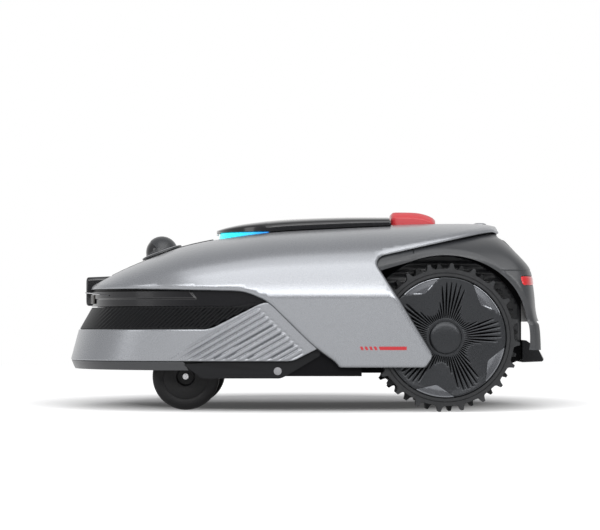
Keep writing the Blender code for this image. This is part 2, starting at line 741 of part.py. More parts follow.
def build_hood():
    low_half, high_half = HOOD_STRIP_HALF
    rings = []
    for x in spread(CAMERA_X[1] + SEAM, LID_NOSE_X - 4 * SEAM, 11):
        low = between(TOP_LINE, x) + GAP
        high = low + HOOD_STRIP_HEIGHT
        section = ((-low_half, low), (low_half, low), (high_half, high), (-high_half, high))
        rings.append([Vector((x, y, z)) for y, z in section])
    strip = loft("hood_strip", rings, BLACK)
    cut(strip, lidar_hole("lidar_hole_strip"))
    foot = Matrix.Translation((RAIN_X, 0.0, between(TOP_LINE, RAIN_X)))
    profile = ((0.0, RAIN_HEIGHT), (0.64 * RAIN_RADIUS, RAIN_HEIGHT),
               (0.95 * RAIN_RADIUS, 0.55 * RAIN_HEIGHT), (RAIN_RADIUS, GAP), (0.0, GAP))
    turned("rain_sensor", profile, GLOSS_BLACK, 20, foot)


# Camera at the nose and LiDAR on the hood

def build_camera():
    face = CAMERA_X[0]
    housing = box("camera_housing", (face, -CAMERA_HALF, CAMERA_Z[0]),
                  (CAMERA_X[1], CAMERA_HALF, CAMERA_Z[1]), GLOSS_BLACK, CAMERA_ROUNDING)
    pocket_half = WINDOW_HALF + GAP
    cut(housing, box("window_pocket", (-REACH_X, -pocket_half, WINDOW_Z[0] - GAP),
                     (face + WINDOW_DEPTH + GAP, pocket_half, WINDOW_Z[1] + GAP)))
    box("camera_window", (face - SEAM / 2, -WINDOW_HALF, WINDOW_Z[0]),
        (face + WINDOW_DEPTH, WINDOW_HALF, WINDOW_Z[1]), GLOSS_BLACK)
    tip = face - VISOR_REACH
    root = face - GAP
    outline = ((tip, -VISOR_HALF[0]), (root, -VISOR_HALF[1]), (root, VISOR_HALF[1]), (tip, VISOR_HALF[0]))
    outline_plate("camera_visor", rounded(outline, CAMERA_ROUNDING), *VISOR_Z, "XY", DARK_GREY)


def dome_arc(radius, low, steps):
    """The quarter profile of a dome from its top down to a height, with its top point on the axis."""
    angles = spread(math.pi / 2, math.asin((low - LIDAR_RISE) / radius), steps)
    arc = [(radius * math.cos(a), LIDAR_RISE + radius * math.sin(a)) for a in angles]
    return [(0.0, LIDAR_RISE + radius)] + arc[1:]


def build_lidar():
    place = lidar_place()
    floor = -0.008
    base = ((LIDAR_RIM, LIDAR_SEAT), (LIDAR_RIM, 0.0028), (LIDAR_NECK, 0.0026), (LIDAR_NECK, floor - 0.006),
            (0.005, floor - 0.006), (0.005, floor), (0.014, floor), (0.014, 0.0040), (0.0195, LIDAR_SEAT))
    turned("lidar_base", base, DARK_GREY, 24, place)
    low = LIDAR_SEAT + GAP
    profile = dome_arc(LIDAR_RADIUS, low, 6) + dome_arc(LIDAR_RADIUS - LIDAR_WALL, low, 5)[::-1]
    turned("lidar_dome", profile, GLOSS_BLACK, 24, place)
    rotor = ((0.0, 0.0150), (0.0085, 0.0150), (0.0100, 0.0130), (0.0100, -0.0030), (0.0045, -0.0040),
             (0.0045, -0.0130), (0.0, -0.0130))
    turned("lidar_rotor", rotor, GREY, 16, place)


# Fascia under the hood, with a shelf to the tub and the charge contacts

def fascia_solid(name, levels, inset, material=None):
    back_x = SHELL_STRAIGHT_X + 10 * SEAM
    rings = [plan_ring(z, FASCIA_NOSE_X, FASCIA_HALF, back_x, inset) for z in levels]
    return loft(name, rings, material)


def end_cut(name, x):
    """A cutter that ends a level band at x."""
    return box(name, (x, -REACH_Y, 0.0), (REACH_X, REACH_Y, REACH_Z))


def build_fascia():
    cutter_z = (FASCIA_Z[0] - 10 * SEAM, FASCIA_Z[1] + 10 * SEAM)
    fascia = fascia_solid("front_fascia", FASCIA_Z, 0.0, GLOSS_BLACK)
    cut(fascia, fascia_solid("fascia_inside", cutter_z, FASCIA_WALL), end_cut("fascia_end", FASCIA_END_X))
    shelf = fascia_solid("fascia_shelf", SHELF_Z, FASCIA_WALL / 2)
    cut(shelf, loft("shelf_inside", [tub_front_ring(z, 0.0, -GAP) for z in cutter_z]))
    cut(shelf, end_cut("shelf_end", SHELF_END_X))
    fuse(fascia, shelf)
    cut(fascia, camera_notch("fascia_notch"))
    for name, side in LEFT_RIGHT:
        low_y, high_y = on_side(side, *CONTACT_Y)
        contact = fascia_solid("charge_contact_" + name, CONTACT_Z, -CONTACT_HEIGHT, BRASS)
        cut(contact, fascia_solid("contact_back", cutter_z, -GAP))
        keep_inside(contact, box("contact_span", (-REACH_X, low_y, 0.0),
                                 (TUB_STRAIGHT_X, high_y, REACH_Z)))


# Front bumper with its guides, grille band and lip

def bumper_nose(z):
    points = (LIP_LOW, BUMPER_LOW, BUMPER_HIGH, GRILLE_HIGH)
    if z <= points[0][0]:
        return points[0][1]
    for (z0, x0), (z1, x1) in zip(points, points[1:]):
        if z <= z1:
            return x0 + (x1 - x0) * (z - z0) / (z1 - z0)
    (z0, x0), (z1, x1) = points[-2:]
    return x1 + (x1 - x0) * (z - z1) / (z1 - z0)


def bumper_solid(name, levels, inset, back_x, material=None):
    rings = [plan_ring(z, bumper_nose(z), side_half(z) - BUMPER_INSET, back_x, inset) for z in levels]
    return loft(name, rings, material)


def band(name, levels, inset, wall, back_x, material):
    """A hollow band of the nose past its lowest and highest level, still uncut at its ends."""
    margin = 0.010
    low = levels[0] - margin
    high = levels[-1] + margin
    made = bumper_solid(name, (low, *levels, high), inset, back_x, material)
    hollow = (low - margin, *levels, high + margin)
    cut(made, bumper_solid(name + "_inside", hollow, inset + wall, back_x + margin))
    return made


def build_bumper():
    bumper_z = (BUMPER_LOW[0], BUMPER_HIGH[0], GRILLE_HIGH[0])
    bumper = band("front_bumper", bumper_z, 0.0, BUMPER_WALL, BUMPER_BACK_X, SILVER)
    keep_inside(bumper, across("bumper_side_outline", rounded(BUMPER_OUTLINE, BUMPER_ROUNDING)))
    nose = end_at(GUIDE_Y, bumper_nose(GUIDE_Z), side_half(GUIDE_Z) - BUMPER_INSET, SHELL_STRAIGHT_X)
    tub_face = end_at(GUIDE_Y, TUB_NOSE_X, TUB_FRONT_HALF, TUB_STRAIGHT_X)
    for name, side in LEFT_RIGHT:
        at = (side * GUIDE_Y, GUIDE_Z)
        fuse(bumper, rod("guide_socket", GUIDE_SOCKET_RADIUS, nose + 0.0025, GUIDE_SOCKET_END_X, at, "X",
                         segments=16))
        cut(bumper, rod("guide_bore", GUIDE_RADIUS + GAP, nose + 0.0050, GUIDE_SOCKET_END_X + 0.006, at, "X",
                        segments=16))
        rod("bumper_guide_" + name, GUIDE_RADIUS, nose + 0.0140, tub_face - SEAM, at, "X", STEEL, 16)
    grille_z = (BUMPER_HIGH[0], GRILLE_HIGH[0])
    grille = band("grille_band", grille_z, GRILLE_INSET, GRILLE_WALL, BAND_BACK_X, BLACK)
    keep_inside(grille, across("grille_side_outline", rounded(GRILLE_OUTLINE, GRILLE_ROUNDING)))
    lip_top = BUMPER_LOW[0] - GAP
    lip = band("bumper_lip", (LIP_LOW[0], lip_top), LIP_INSET, LIP_WALL, BAND_BACK_X, DARK_GREY)
    keep_inside(lip, box("lip_span", (-REACH_X, -REACH_Y, LIP_LOW[0]), (LIP_END_X, REACH_Y, lip_top)))


def build_side_plates():
    near = BELLY_HALF + GAP
    for name, side in LEFT_RIGHT:
        span = on_side(side, near, near + SIDE_PLATE_THICKNESS)
        outline_plate("side_plate_" + name, rounded(SIDE_PLATE, SIDE_PLATE_ROUNDING, 2), *span, "XZ", BLACK)


# Rear shell with its lights and panel, and the flap below it

def rear_half(z):
    """Half width of the rear shell at a height."""
    if z <= CREASE_Z:
        return side_half(z) - REAR_INSET
    low, high = 0.0, 1.0
    for _ in range(40):
        t = (low + high) / 2
        if shell_upper(REAR_FRONT_X, t, REAR_INSET)[1] < z:
            low = t
        else:
            high = t
    return shell_upper(REAR_FRONT_X, low, REAR_INSET)[0]


def rear_solid(name, inset, low, high, material=None):
    levels = [low] + [z for z in REAR_LEVELS if low < z < high] + [high]
    rings = []
    for z in levels:
        end = between(REAR_END, z)
        rings.append(plan_ring(z, end, rear_half(z), REAR_FRONT_X - inset, inset, end - REAR_CORNER,
                               (REAR_POWER, REAR_POWER)))
    return loft(name, rings, material)


def flap_solid(name, section, half, material=None):
    """The flap's section drawn across the machine, swept back towards the middle."""
    rings = []
    for y in (-half, 0.0, half):
        reach = FLAP_TIP_X - FLAP_SWEEP * abs(y) - FLAP_ROOT_X
        rings.append([Vector((FLAP_ROOT_X + share * reach, y, z)) for share, z in section])
    return loft(name, rings, material)


def build_rear():
    rear = rear_solid("rear_shell", 0.0, SHELL_BOTTOM_Z, REAR_TOP_Z, DARK_GREY)
    cut(rear, rear_solid("rear_inside", REAR_WALL, BELLY_Z, REAR_TOP_Z + 0.02))
    cut(rear, rod("wheel_arch", ARCH_RADIUS, -REACH_Y, REACH_Y, (WHEEL_X, WHEEL_RADIUS), "Y", segments=44))
    mouth_x = WHEEL_X + AXLE_HOLE_RADIUS * 5
    cut(rear, box("rear_mouth", (mouth_x, -LEG_INNER_Y, 0.0), (REACH_X, LEG_INNER_Y, REAR_OPEN_Z)))
    cut(rear, box("leg_end", (0.0, -REACH_Y, -SEAM), (REACH_X + SEAM, REACH_Y, LEG_BOTTOM_Z)))
    low_z, high_z = TAIL_LIGHT_Z
    margin = 0.015
    for name, side in LEFT_RIGHT:
        light = rear_solid("tail_light_" + name, -TAIL_LIGHT_HEIGHT, low_z, high_z, TAIL_RED)
        cut(light, rear_solid("light_inside", TAIL_LIGHT_DEPTH, low_z - margin, high_z + margin))
        span = on_side(side, TAIL_LIGHT_Y, REACH_Y)
        keep_inside(light, box("light_span", (TAIL_LIGHT_X, span[0], low_z - margin),
                               (REACH_X, span[1], high_z + margin)))
        slot = on_side(side, TAIL_LIGHT_Y - GAP, REACH_Y)
        cut(rear, box("light_slot", (TAIL_LIGHT_X - GAP, slot[0], low_z - GAP),
                      (REACH_X, slot[1], high_z + GAP)))
    panel = rear_solid("rear_panel", -PANEL_HEIGHT, *PANEL_Z, GLOSS_BLACK)
    cut(panel, rear_solid("panel_back", -GAP, PANEL_Z[0] - 0.009, PANEL_Z[1] + 0.008))
    keep_inside(panel, box("panel_span", (WHEEL_X, -PANEL_HALF, 0.0), (REACH_X, PANEL_HALF, REACH_Z)))
    flap = flap_solid("rear_flap", FLAP_SECTION, FLAP_HALF, BLACK)
    cut(flap, flap_solid("flap_hollow", FLAP_HOLLOW, FLAP_HALF - FLAP_END))


# Lid, light strip, control deck, keys and stop button

def lid_half(x, inset=0.0):
    nose = LID_NOSE_X + inset
    t = min(1.0, max(0.0, (LID_STRAIGHT_X - x) / (LID_STRAIGHT_X - nose)))
    return (LID_HALF - inset) * math.sqrt(1.0 - t ** LID_POWER)


def lid_plan(inset, rear_x):
    """The lid's level outline, drawn in by inset and ended at rear_x."""
    length = LID_STRAIGHT_X - LID_NOSE_X - inset
    straight_x = min(LID_STRAIGHT_X, rear_x - SEAM)
    widest = math.acos(((LID_STRAIGHT_X - straight_x) / length) ** (LID_POWER / 2.0))
    half = []
    for turn in spread(0.0, widest, 9):
        x = LID_STRAIGHT_X - length * math.cos(turn) ** (2.0 / LID_POWER)
        half.append((x, (LID_HALF - inset) * math.sin(turn)))
    half.append((rear_x, half[-1][1]))
    return half + [(x, -y) for x, y in reversed(half[1:])]


def lid_edge(x):
    """Height of the lid's lower edge: over the light strip in front, on the top shell behind it."""
    if x < STRIP_END_X:
        return between(LID_FRONT_EDGE, x)
    return shell_height(x, lid_half(x) - LID_OVERLAP) + LID_LIFT


def lid_ring(x, inset=0.0, drop=0.0):
    half = lid_half(x, inset)
    edge = lid_edge(x)
    top = between(LID_TOP, x) - inset
    shoulder = edge + (top - edge) * 0.35
    handles = ((half, shoulder), (half, shoulder + (top - shoulder) * 0.75), (half * 0.75, top), (0.0, top))
    return mirrored(x, [(half, edge - drop)] + [cubic(handles, t) for t in spread(0.0, 1.0, 6)])


def build_lid():
    lid = loft("control_lid", [lid_ring(x) for x in LID_STATIONS], GLOSS_BLACK)
    hollow_end = LID_REAR_X - LID_WALL
    inner = [x for x in LID_STATIONS if LID_HOLLOW_X < x < hollow_end] + [hollow_end]
    cut(lid, loft("lid_inside", [lid_ring(x, LID_WALL, 0.02) for x in inner]))
    rod("lid_hinge_pin", LID_HINGE_RADIUS, -LID_HINGE_HALF, LID_HINGE_HALF, LID_HINGE, "Y", STEEL, 12)
    strip = outline_plate("light_strip", lid_plan(STRIP_INSET[0], STRIP_END_X), *STRIP_Z, "XY", CYAN)
    cut(strip, punch("strip_inside", lid_plan(STRIP_INSET[1], STRIP_END_X + 10 * SEAM)))
    groove_half = LID_HINGE_HALF + 2 * SEAM
    cut(strip, box("pin_groove", (-REACH_X, -groove_half, PIN_GROOVE_Z),
                   (PIN_GROOVE_X, groove_half, REACH_Z)))


def build_deck():
    floor = DECK_RECESS_Z
    plan = lid_plan(DECK_INSET, LID_REAR_X - 3 * SEAM)
    deck = outline_plate("control_deck", plan, DECK_FLOOR_Z, DECK_TOP_Z, "XY", BLACK)
    fuse(deck, box("deck_flange", (STRIP_END_X + SEAM / 2, -FLANGE_HALF, DECK_FLOOR_Z - SEAM),
                   (STOP_X[1] + 6 * SEAM, FLANGE_HALF, FLANGE_TOP_Z)))
    keep_inside(deck, shell_solid("deck_limit", SHELL_WALL + GAP, TUB_FRONT_Z))
    recess = lid_plan(DECK_RECESS_INSET, LID_REAR_X - 8 * SEAM)
    cut(deck, outline_plate("deck_recess", recess, floor, REACH_Z, "XY"))
    cut(deck, box("switch_recess", (STOP_X[0] + 3 * SEAM, -STOP_HALF - 4 * SEAM, floor),
                  (STOP_X[1], STOP_HALF + 4 * SEAM, REACH_Z)))
    switch_top = STOP_HOLLOW_Z - STOP_TRAVEL - SEAM / 2
    rod("stop_switch", SWITCH_RADIUS, floor + GAP, switch_top, (sum(STOP_X) / 2, 0.0), "Z", GREY, 20)
    box("display_screen", (SCREEN_X[0], -SCREEN_HALF, floor + GAP),
        (SCREEN_X[1], SCREEN_HALF, floor + SCREEN_THICKNESS), GLOSS_BLACK, 1.2 * SEAM)
    for name, y in KEYS:
        cut(deck, rod("key_hole", KEY_RADIUS + KEY_CLEARANCE, DECK_FLOOR_Z - 0.01, floor + 0.01, (KEY_X, y),
                      segments=20))
        profile = ((0.0, KEY_HEIGHT), (KEY_RADIUS - 1.2 * SEAM, KEY_HEIGHT), (KEY_RADIUS, KEY_HEIGHT - SEAM),
                   (KEY_RADIUS, -KEY_DEPTH), (0.0, -KEY_DEPTH))
        turned("key_" + name, profile, GREY, 16, Matrix.Translation((KEY_X, y, floor)))


def stop_ring(x, shrink, top):
    half = ((STOP_HALF - shrink, STOP_SKIRT_Z), (STOP_HALF - shrink, top - STOP_EDGE_DROP),
            (STOP_TOP_HALF + 4 * SEAM - shrink, top - 1.2 * SEAM), (STOP_TOP_HALF - 4 * SEAM - shrink, top))
    return [Vector((x, y, z)) for y, z in half] + [Vector((x, -y, z)) for y, z in reversed(half)]


def build_stop():
    front, rear = STOP_X
    high, low = STOP_TOP_Z
    rings = (stop_ring(front, 0.0045, high - 0.0022), stop_ring(front + 0.0045, 0.0, high),
             stop_ring(front + 0.040, 0.0, high - 0.0010), stop_ring(rear - 0.004, 0.002, low),
             stop_ring(rear, 0.006, low - 0.0030))
    button = loft("stop_button", rings, RED)
    half = STOP_HALF - STOP_WALL[1]
    cut(button, box("stop_hollow", (front + STOP_WALL[0], -half, 0.0),
                    (rear - STOP_WALL[0], half, STOP_HOLLOW_Z)))


# Drive wheels, casters and motors

def lug_outline(phase):
    points = []
    for i in range(LUGS):
        middle = phase + 2 * math.pi * i / LUGS
        for angle, radius in ((-LUG_ROOT_ANGLE, TYRE_BODY_RADIUS), (-LUG_TIP_ANGLE, WHEEL_RADIUS),
                              (LUG_TIP_ANGLE, WHEEL_RADIUS), (LUG_ROOT_ANGLE, TYRE_BODY_RADIUS)):
            turn = middle + angle
            points.append((WHEEL_X + radius * math.cos(turn), WHEEL_RADIUS + radius * math.sin(turn)))
    return points


def wheel_place(x, y, z, side):
    """A turned piece's own Z axis laid across the machine, outwards on the given side."""
    return Matrix.Translation((x, y, z)) @ Matrix.Rotation(-side * math.pi / 2, 4, "X")


def build_drive():
    at = (WHEEL_X, WHEEL_RADIUS)
    middle = sum(WHEEL_Y) / 2
    back, face = WHEEL_Y
    dish = face - DISC_DISH
    rim_back = back + DISC_BACK
    disc = ((0.0, dish), (0.0230, dish), (0.0700, face - 0.0040), (0.0780, face - 0.0048),
            (WHEEL_DISC_RADIUS, face - 0.0065), (WHEEL_DISC_RADIUS, rim_back), (DISC_RIM, rim_back),
            (DISC_RIM, face - 0.0150), (HUB_RADIUS + 0.004, face - 0.0210), (HUB_RADIUS, rim_back),
            (AXLE_RADIUS, back), (AXLE_RADIUS, AXLE_END_Y), (0.0, AXLE_END_Y))
    cap = ((0.0, face - 0.0018), (0.0120, face - 0.0020), (0.0190, face - 0.0030),
           (HUB_CAP_RADIUS, face - 0.0045), (HUB_CAP_RADIUS, dish + GAP), (0.0, dish + GAP))
    for name, side in LEFT_RIGHT:
        outer = on_side(side, middle - SEAM / 2, face)
        inner = on_side(side, back, middle + SEAM / 2)
        tyre = outline_plate("tyre_" + name, lug_outline(LUG_PHASE), *outer, "XZ", RUBBER)
        fuse(tyre, outline_plate("tyre_inner_row", lug_outline(LUG_PHASE + math.pi / LUGS), *inner, "XZ"))
        cut(tyre, rod("tyre_bore", TYRE_BORE_RADIUS, -REACH_Y, REACH_Y, at, "Y", segments=40))
        place = wheel_place(WHEEL_X, 0.0, WHEEL_RADIUS, side)
        turned("wheel_disc_" + name, disc, DARK_GREY, 36, place)
        turned("hub_cap_" + name, cap, BLACK, 24, place)
        motor = rod("drive_motor_" + name, MOTOR_RADIUS, *on_side(side, *MOTOR_Y), at, "Y", GREY, 32)
        bore = on_side(side, AXLE_END_Y - 0.004, MOTOR_Y[1] + 0.010)
        cut(motor, rod("motor_bore", AXLE_RADIUS + SEAM / 2, *bore, at, "Y", segments=24))


def build_casters():
    wheel_x = CASTER_STEM_X + CASTER_TRAIL
    crown_low, crown_high = CASTER_FORK_Z
    half = CASTER_HALF_WIDTH
    bore = CASTER_AXLE_RADIUS + 0.0003
    leg_outline = rounded(((wheel_x - 0.026, crown_high - SEAM), (wheel_x - 0.010, CASTER_LEG_LOW_Z),
                           (wheel_x + 0.010, CASTER_LEG_LOW_Z), (wheel_x + 0.011, crown_high - SEAM)), 0.004)
    tread = ((0.0360, half), (CASTER_RADIUS - 0.0020, half - 0.0030), (CASTER_RADIUS, 0.0060))
    wheel = ((bore, half - 0.0060), (CASTER_RECESS_RADIUS - 0.0015, half - 0.0060),
             (CASTER_RECESS_RADIUS, half - 0.0010), *tread, *((r, -h) for r, h in reversed(tread)),
             (CASTER_RECESS_RADIUS, -half + 0.0010), (CASTER_RECESS_RADIUS - 0.0015, -half + 0.0040),
             (bore, -half + 0.0040))
    bush_bore = CASTER_STEM_RADIUS + GAP
    bush = ((BUSH_FLANGE_RADIUS, BUSH_HEIGHT), (BUSH_FLANGE_RADIUS, TUB_WALL + GAP),
            (BUSH_RADIUS, TUB_WALL + GAP / 2), (BUSH_RADIUS, 0.0), (bush_bore, 0.0), (bush_bore, BUSH_HEIGHT))
    for name, side in LEFT_RIGHT:
        y = side * CASTER_Y
        near, far = (CASTER_Y - half - reach for reach in CASTER_LEG)
        crown_y = on_side(side, CASTER_Y + 0.0120, far)
        fork = box("caster_fork_" + name, (CASTER_STEM_X - 0.014, crown_y[0], crown_low),
                   (wheel_x + 0.012, crown_y[1], crown_high), STEEL)
        leg = outline_plate("fork_leg", leg_outline, *on_side(side, near, far), "XZ")
        stem = rod("fork_stem", CASTER_STEM_RADIUS, crown_high - 2 * SEAM, CASTER_STEM_TOP_Z,
                   (CASTER_STEM_X, y))
        ends = on_side(side, near - SEAM, CASTER_Y + half - 2 * SEAM)
        axle = rod("fork_axle", CASTER_AXLE_RADIUS, *ends, (wheel_x, CASTER_RADIUS), "Y", segments=16)
        fuse(fork, leg, stem, axle)
        turned("caster_wheel_" + name, wheel, RUBBER, 28, wheel_place(wheel_x, y, CASTER_RADIUS, side))
        turned("caster_bush_" + name, bush, BRASS, 16, Matrix.Translation((CASTER_STEM_X, y, TUB_FRONT_Z)))


# Cutting unit under the belly, and what the tub holds

def blade_place(i):
    turn = 2 * math.pi * i / BLADES + BLADE_START
    return Matrix.Translation((DISC_X, 0.0, 0.0)) @ Matrix.Rotation(turn, 4, "Z")


def blade_pivot(i):
    return blade_place(i) @ Vector((BLADE_PIVOT, 0.0, sum(BLADE_Z) / 2))


def build_carrier():
    low, high = CARRIER_Z
    inner = CARRIER_RADIUS - CARRIER_WALL
    shaft_hole = BLADE_SHAFT_RADIUS + 0.003
    floor = low + CARRIER_WALL
    profile = ((CARRIER_RADIUS, high), (CARRIER_RADIUS, low), (shaft_hole, low), (shaft_hole, floor),
               (inner, floor), (inner, high))
    carrier = turned("deck_carrier", profile, GREY, 24, Matrix.Translation((DISC_X, 0.0, 0.0)))
    for x, sign in zip(POST_X, (-1, 1)):
        root = DISC_X + sign * (inner + CARRIER_WALL / 2)
        tip = x + sign * 0.010
        fuse(carrier, box("carrier_arm", (min(root, tip), -CARRIER_ARM_HALF, CARRIER_ARM_Z[0]),
                          (max(root, tip), CARRIER_ARM_HALF, CARRIER_ARM_Z[1])))
        cut(carrier, rod("post_bore", POST_RADIUS + GAP, CARRIER_ARM_Z[0] - 0.01, CARRIER_ARM_Z[1] + 0.01,
                         (x, 0.0), segments=20))
    at = (DISC_X, 0.0)
    motor = rod("blade_motor", inner - SEAM, floor + GAP, BLADE_MOTOR_TOP_Z, at, "Z", GREY, 32)
    shaft_end = DISC_Z[1] + DISC_HUB_HEIGHT + 2 * GAP
    fuse(motor, rod("motor_shaft", BLADE_SHAFT_RADIUS, shaft_end, low + 0.010, at, segments=20))


def build_blades():
    low, high = DISC_Z
    hub = high + DISC_HUB_HEIGHT
    profile = ((0.0, hub), (0.0160, hub), (0.0220, high), (DISC_RADIUS - 0.004, high),
               (DISC_RADIUS, high - 0.0015), (DISC_RADIUS, low + SEAM), (DISC_RADIUS - 2 * SEAM, low),
               (0.0, low))
    disc = turned("blade_disc", profile, BLACK, 32, Matrix.Translation((DISC_X, 0.0, 0.0)))
    start = BLADE_PIVOT - BLADE_HEEL
    end = start + BLADE_LENGTH
    half = BLADE_WIDTH / 2
    outline = rounded(((start, -half), (end, -half), (end, half), (start, half)), 0.004, 2)
    for i in range(BLADES):
        at = blade_pivot(i)[:2]
        fuse(disc, rod("blade_stud", STUD_RADIUS, STUD_HEAD_Z[0] + SEAM, low + SEAM, at, segments=12))
        fuse(disc, rod("stud_head", STUD_HEAD_RADIUS, *STUD_HEAD_Z, at, segments=12))
        turned_outline = [tuple((blade_place(i) @ Vector((x, y, 0.0)))[:2]) for x, y in outline]
        blade = outline_plate("blade_%d" % (i + 1), turned_outline, *BLADE_Z, "XY", STEEL)
        cut(blade, rod("blade_hole", BLADE_HOLE_RADIUS, BELLY_Z, DISC_Z[0], at, segments=12))


def build_inside():
    roof = WELL_ROOF_Z + TUB_WALL + GAP
    rod("lift_post_front", POST_RADIUS, roof, POST_TOP_Z, (POST_X[0], 0.0), "Z", STEEL, 20)
    rod("lift_post_rear", POST_RADIUS, roof + SEAM / 2, POST_TOP_Z, (POST_X[1], 0.0), "Z", STEEL, 20)
    box("lift_motor", (POST_X[0] - LIFT_MOTOR_HALF, LIFT_MOTOR_Y[0], roof),
        (POST_X[0] + LIFT_MOTOR_HALF, LIFT_MOTOR_Y[1], roof + LIFT_MOTOR_HEIGHT), GREY, 2 * SEAM)
    box("battery_pack", BATTERY_LOW, BATTERY_HIGH, GREY, 4 * SEAM)
    box("main_board", (BOARD_X[0], -BOARD_HALF, TUB_FRONT_Z + TUB_WALL + GAP),
        (BOARD_X[1], BOARD_HALF, BOARD_TOP_Z), GREEN)


# Joint axes: an empty stands on each, and carries what moves about or along it

def pivot(name, place, members, parent=None):
    axis = bpy.data.objects.new(name, None)
    axis.empty_display_size = 0.02
    axis.location = place
    PARTS.objects.link(axis)
    bpy.context.view_layer.update()
    held = [bpy.data.objects[member] for member in members]
    for item in held:
        item.parent = axis
        item.matrix_parent_inverse = axis.matrix_world.inverted()
    if parent:
        axis.parent = parent
        axis.matrix_parent_inverse = parent.matrix_world.inverted()
    return axis


def build_joint_axes():
    pivot("bumper_slide", (BUMPER_LOW[1], 0.0, GUIDE_Z), ("front_bumper", "grille_band", "bumper_lip"))
    pivot("lid_hinge", (LID_HINGE[0], 0.0, LID_HINGE[1]), ("control_lid", "lid_hinge_pin"))
    pivot("stop_press", (sum(STOP_X) / 2, 0.0, STOP_SKIRT_Z), ("stop_button",))
    for name, y in KEYS:
        pivot("key_%s_press" % name, (KEY_X, y, DECK_RECESS_Z), ("key_" + name,))
    pivot("lidar_spin", lidar_place().translation, ("lidar_rotor",))
    for name, side in LEFT_RIGHT:
        wheel = ("tyre_" + name, "wheel_disc_" + name, "hub_cap_" + name)
        pivot("drive_wheel_%s_spin" % name, (WHEEL_X, side * sum(WHEEL_Y) / 2, WHEEL_RADIUS), wheel)
        swivel = pivot("caster_%s_swivel" % name, (CASTER_STEM_X, side * CASTER_Y, CASTER_FORK_Z[1]),
                       ("caster_fork_" + name,))
        pivot("caster_%s_roll" % name, (CASTER_STEM_X + CASTER_TRAIL, side * CASTER_Y, CASTER_RADIUS),
              ("caster_wheel_" + name,), swivel)
    deck = pivot("cut_height", (DISC_X, 0.0, CARRIER_Z[1]), ("deck_carrier", "blade_motor"))
    spin = pivot("blade_disc_spin", (DISC_X, 0.0, sum(DISC_Z) / 2), ("blade_disc",), deck)
    for i in range(BLADES):
        pivot("blade_%d_pivot" % (i + 1), blade_pivot(i), ("blade_%d" % (i + 1),), spin)


build_tub()
build_top_shell()
build_hood()
build_camera()
build_lidar()
build_fascia()
build_bumper()
build_side_plates()
build_rear()
build_lid()
build_deck()
build_stop()
build_drive()
build_casters()
build_carrier()
build_blades()
build_inside()
build_joint_axes()
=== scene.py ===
# %% [markdown]
# # Dressing a robotic lawn mower
# The solids of the machine are already built and jointed. This lesson gives them their looks: smooth
# painted shells, ribs, a star-faced wheel, lights, finishes, a floor and a camera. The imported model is
# loaded first, because every piece below is made around it and rides on one of its bodies.

# %% Load the frame
import json
import math

import bmesh
import bpy
import numpy as np
from mathutils import Matrix, Vector


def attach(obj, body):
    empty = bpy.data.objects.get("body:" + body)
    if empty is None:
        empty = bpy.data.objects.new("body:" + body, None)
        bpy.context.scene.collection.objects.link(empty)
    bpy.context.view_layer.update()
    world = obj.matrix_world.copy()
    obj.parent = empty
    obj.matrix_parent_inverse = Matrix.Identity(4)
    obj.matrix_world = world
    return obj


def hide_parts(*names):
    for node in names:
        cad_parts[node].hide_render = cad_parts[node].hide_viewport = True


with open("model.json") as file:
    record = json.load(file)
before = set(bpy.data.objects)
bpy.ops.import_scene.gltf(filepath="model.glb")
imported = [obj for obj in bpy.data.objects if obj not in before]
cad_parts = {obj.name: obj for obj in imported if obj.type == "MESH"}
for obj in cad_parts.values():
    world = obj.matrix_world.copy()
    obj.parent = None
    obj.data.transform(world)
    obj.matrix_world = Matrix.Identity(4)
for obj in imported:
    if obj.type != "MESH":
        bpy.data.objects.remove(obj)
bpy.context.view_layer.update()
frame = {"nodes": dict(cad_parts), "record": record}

# %% [markdown]
# ## Camera
# The photograph looks at the left side almost level, with a long lens. An orthographic camera would come
# close, but the photograph has a trace of perspective. A camera far away with a narrow angle gives that
# trace, keeps the wheel round and hardly shows the far caster.

# %% Camera
IMAGE_WIDTH = 600
FOCAL_PIXELS = 2281
SENSOR_WIDTH = 36.0
CAMERA_AT = (-0.0112, -3.2, 0.12)
CAMERA_TILT = math.radians(91.4)

camera_data = bpy.data.cameras.new("camera")
camera_data.sensor_width = SENSOR_WIDTH
camera_data.lens = FOCAL_PIXELS / IMAGE_WIDTH * SENSOR_WIDTH
camera = bpy.data.objects.new("camera", camera_data)
camera.location = CAMERA_AT
camera.rotation_euler = (CAMERA_TILT, 0.0, 0.0)
bpy.context.scene.collection.objects.link(camera)
bpy.context.scene.camera = camera
bpy.context.scene.view_settings.view_transform = "Standard"
print("lens", round(camera_data.lens, 1), "mm")

# %% [markdown]
# ## Finishes
# Every finish is a small node tree. A slow noise shifts the colour, a fine one makes the grain that
# light catches, and the mesh's own edges are a little paler: partly wear where hands and grass rub
# them, partly a painted highlight. One builder makes them all, and the numbers that differ are the
# lesson: paint is smooth and metallic, rubber is rough and dusty.

# %% Finish builder
FINISHES = {}
MIX_INPUTS = (0, 6, 7)
MIX_RESULT = 2
CLOUD_SCALE = 14.0
NOISE_SPAN = (0.3, 0.7)
WORN_AND_HIGHLIT_EDGE = (0.53, 0.62)
WORN_AND_HIGHLIT_SHARE = 0.55
GLOSS_SPREAD = (0.88, 1.12)
COAT_ROUGHNESS = 0.06
GRAIN_DEPTH = 0.0004


def add_node(tree, kind, **values):
    node = tree.nodes.new(kind)
    for name, value in values.items():
        setattr(node, name, value)
    return node


def noise_node(tree, place, scale, detail=3.0):
    node = add_node(tree, "ShaderNodeTexNoise")
    node.inputs["Scale"].default_value = scale
    node.inputs["Detail"].default_value = detail
    tree.links.new(place, node.inputs["Vector"])
    return node.outputs["Fac"]


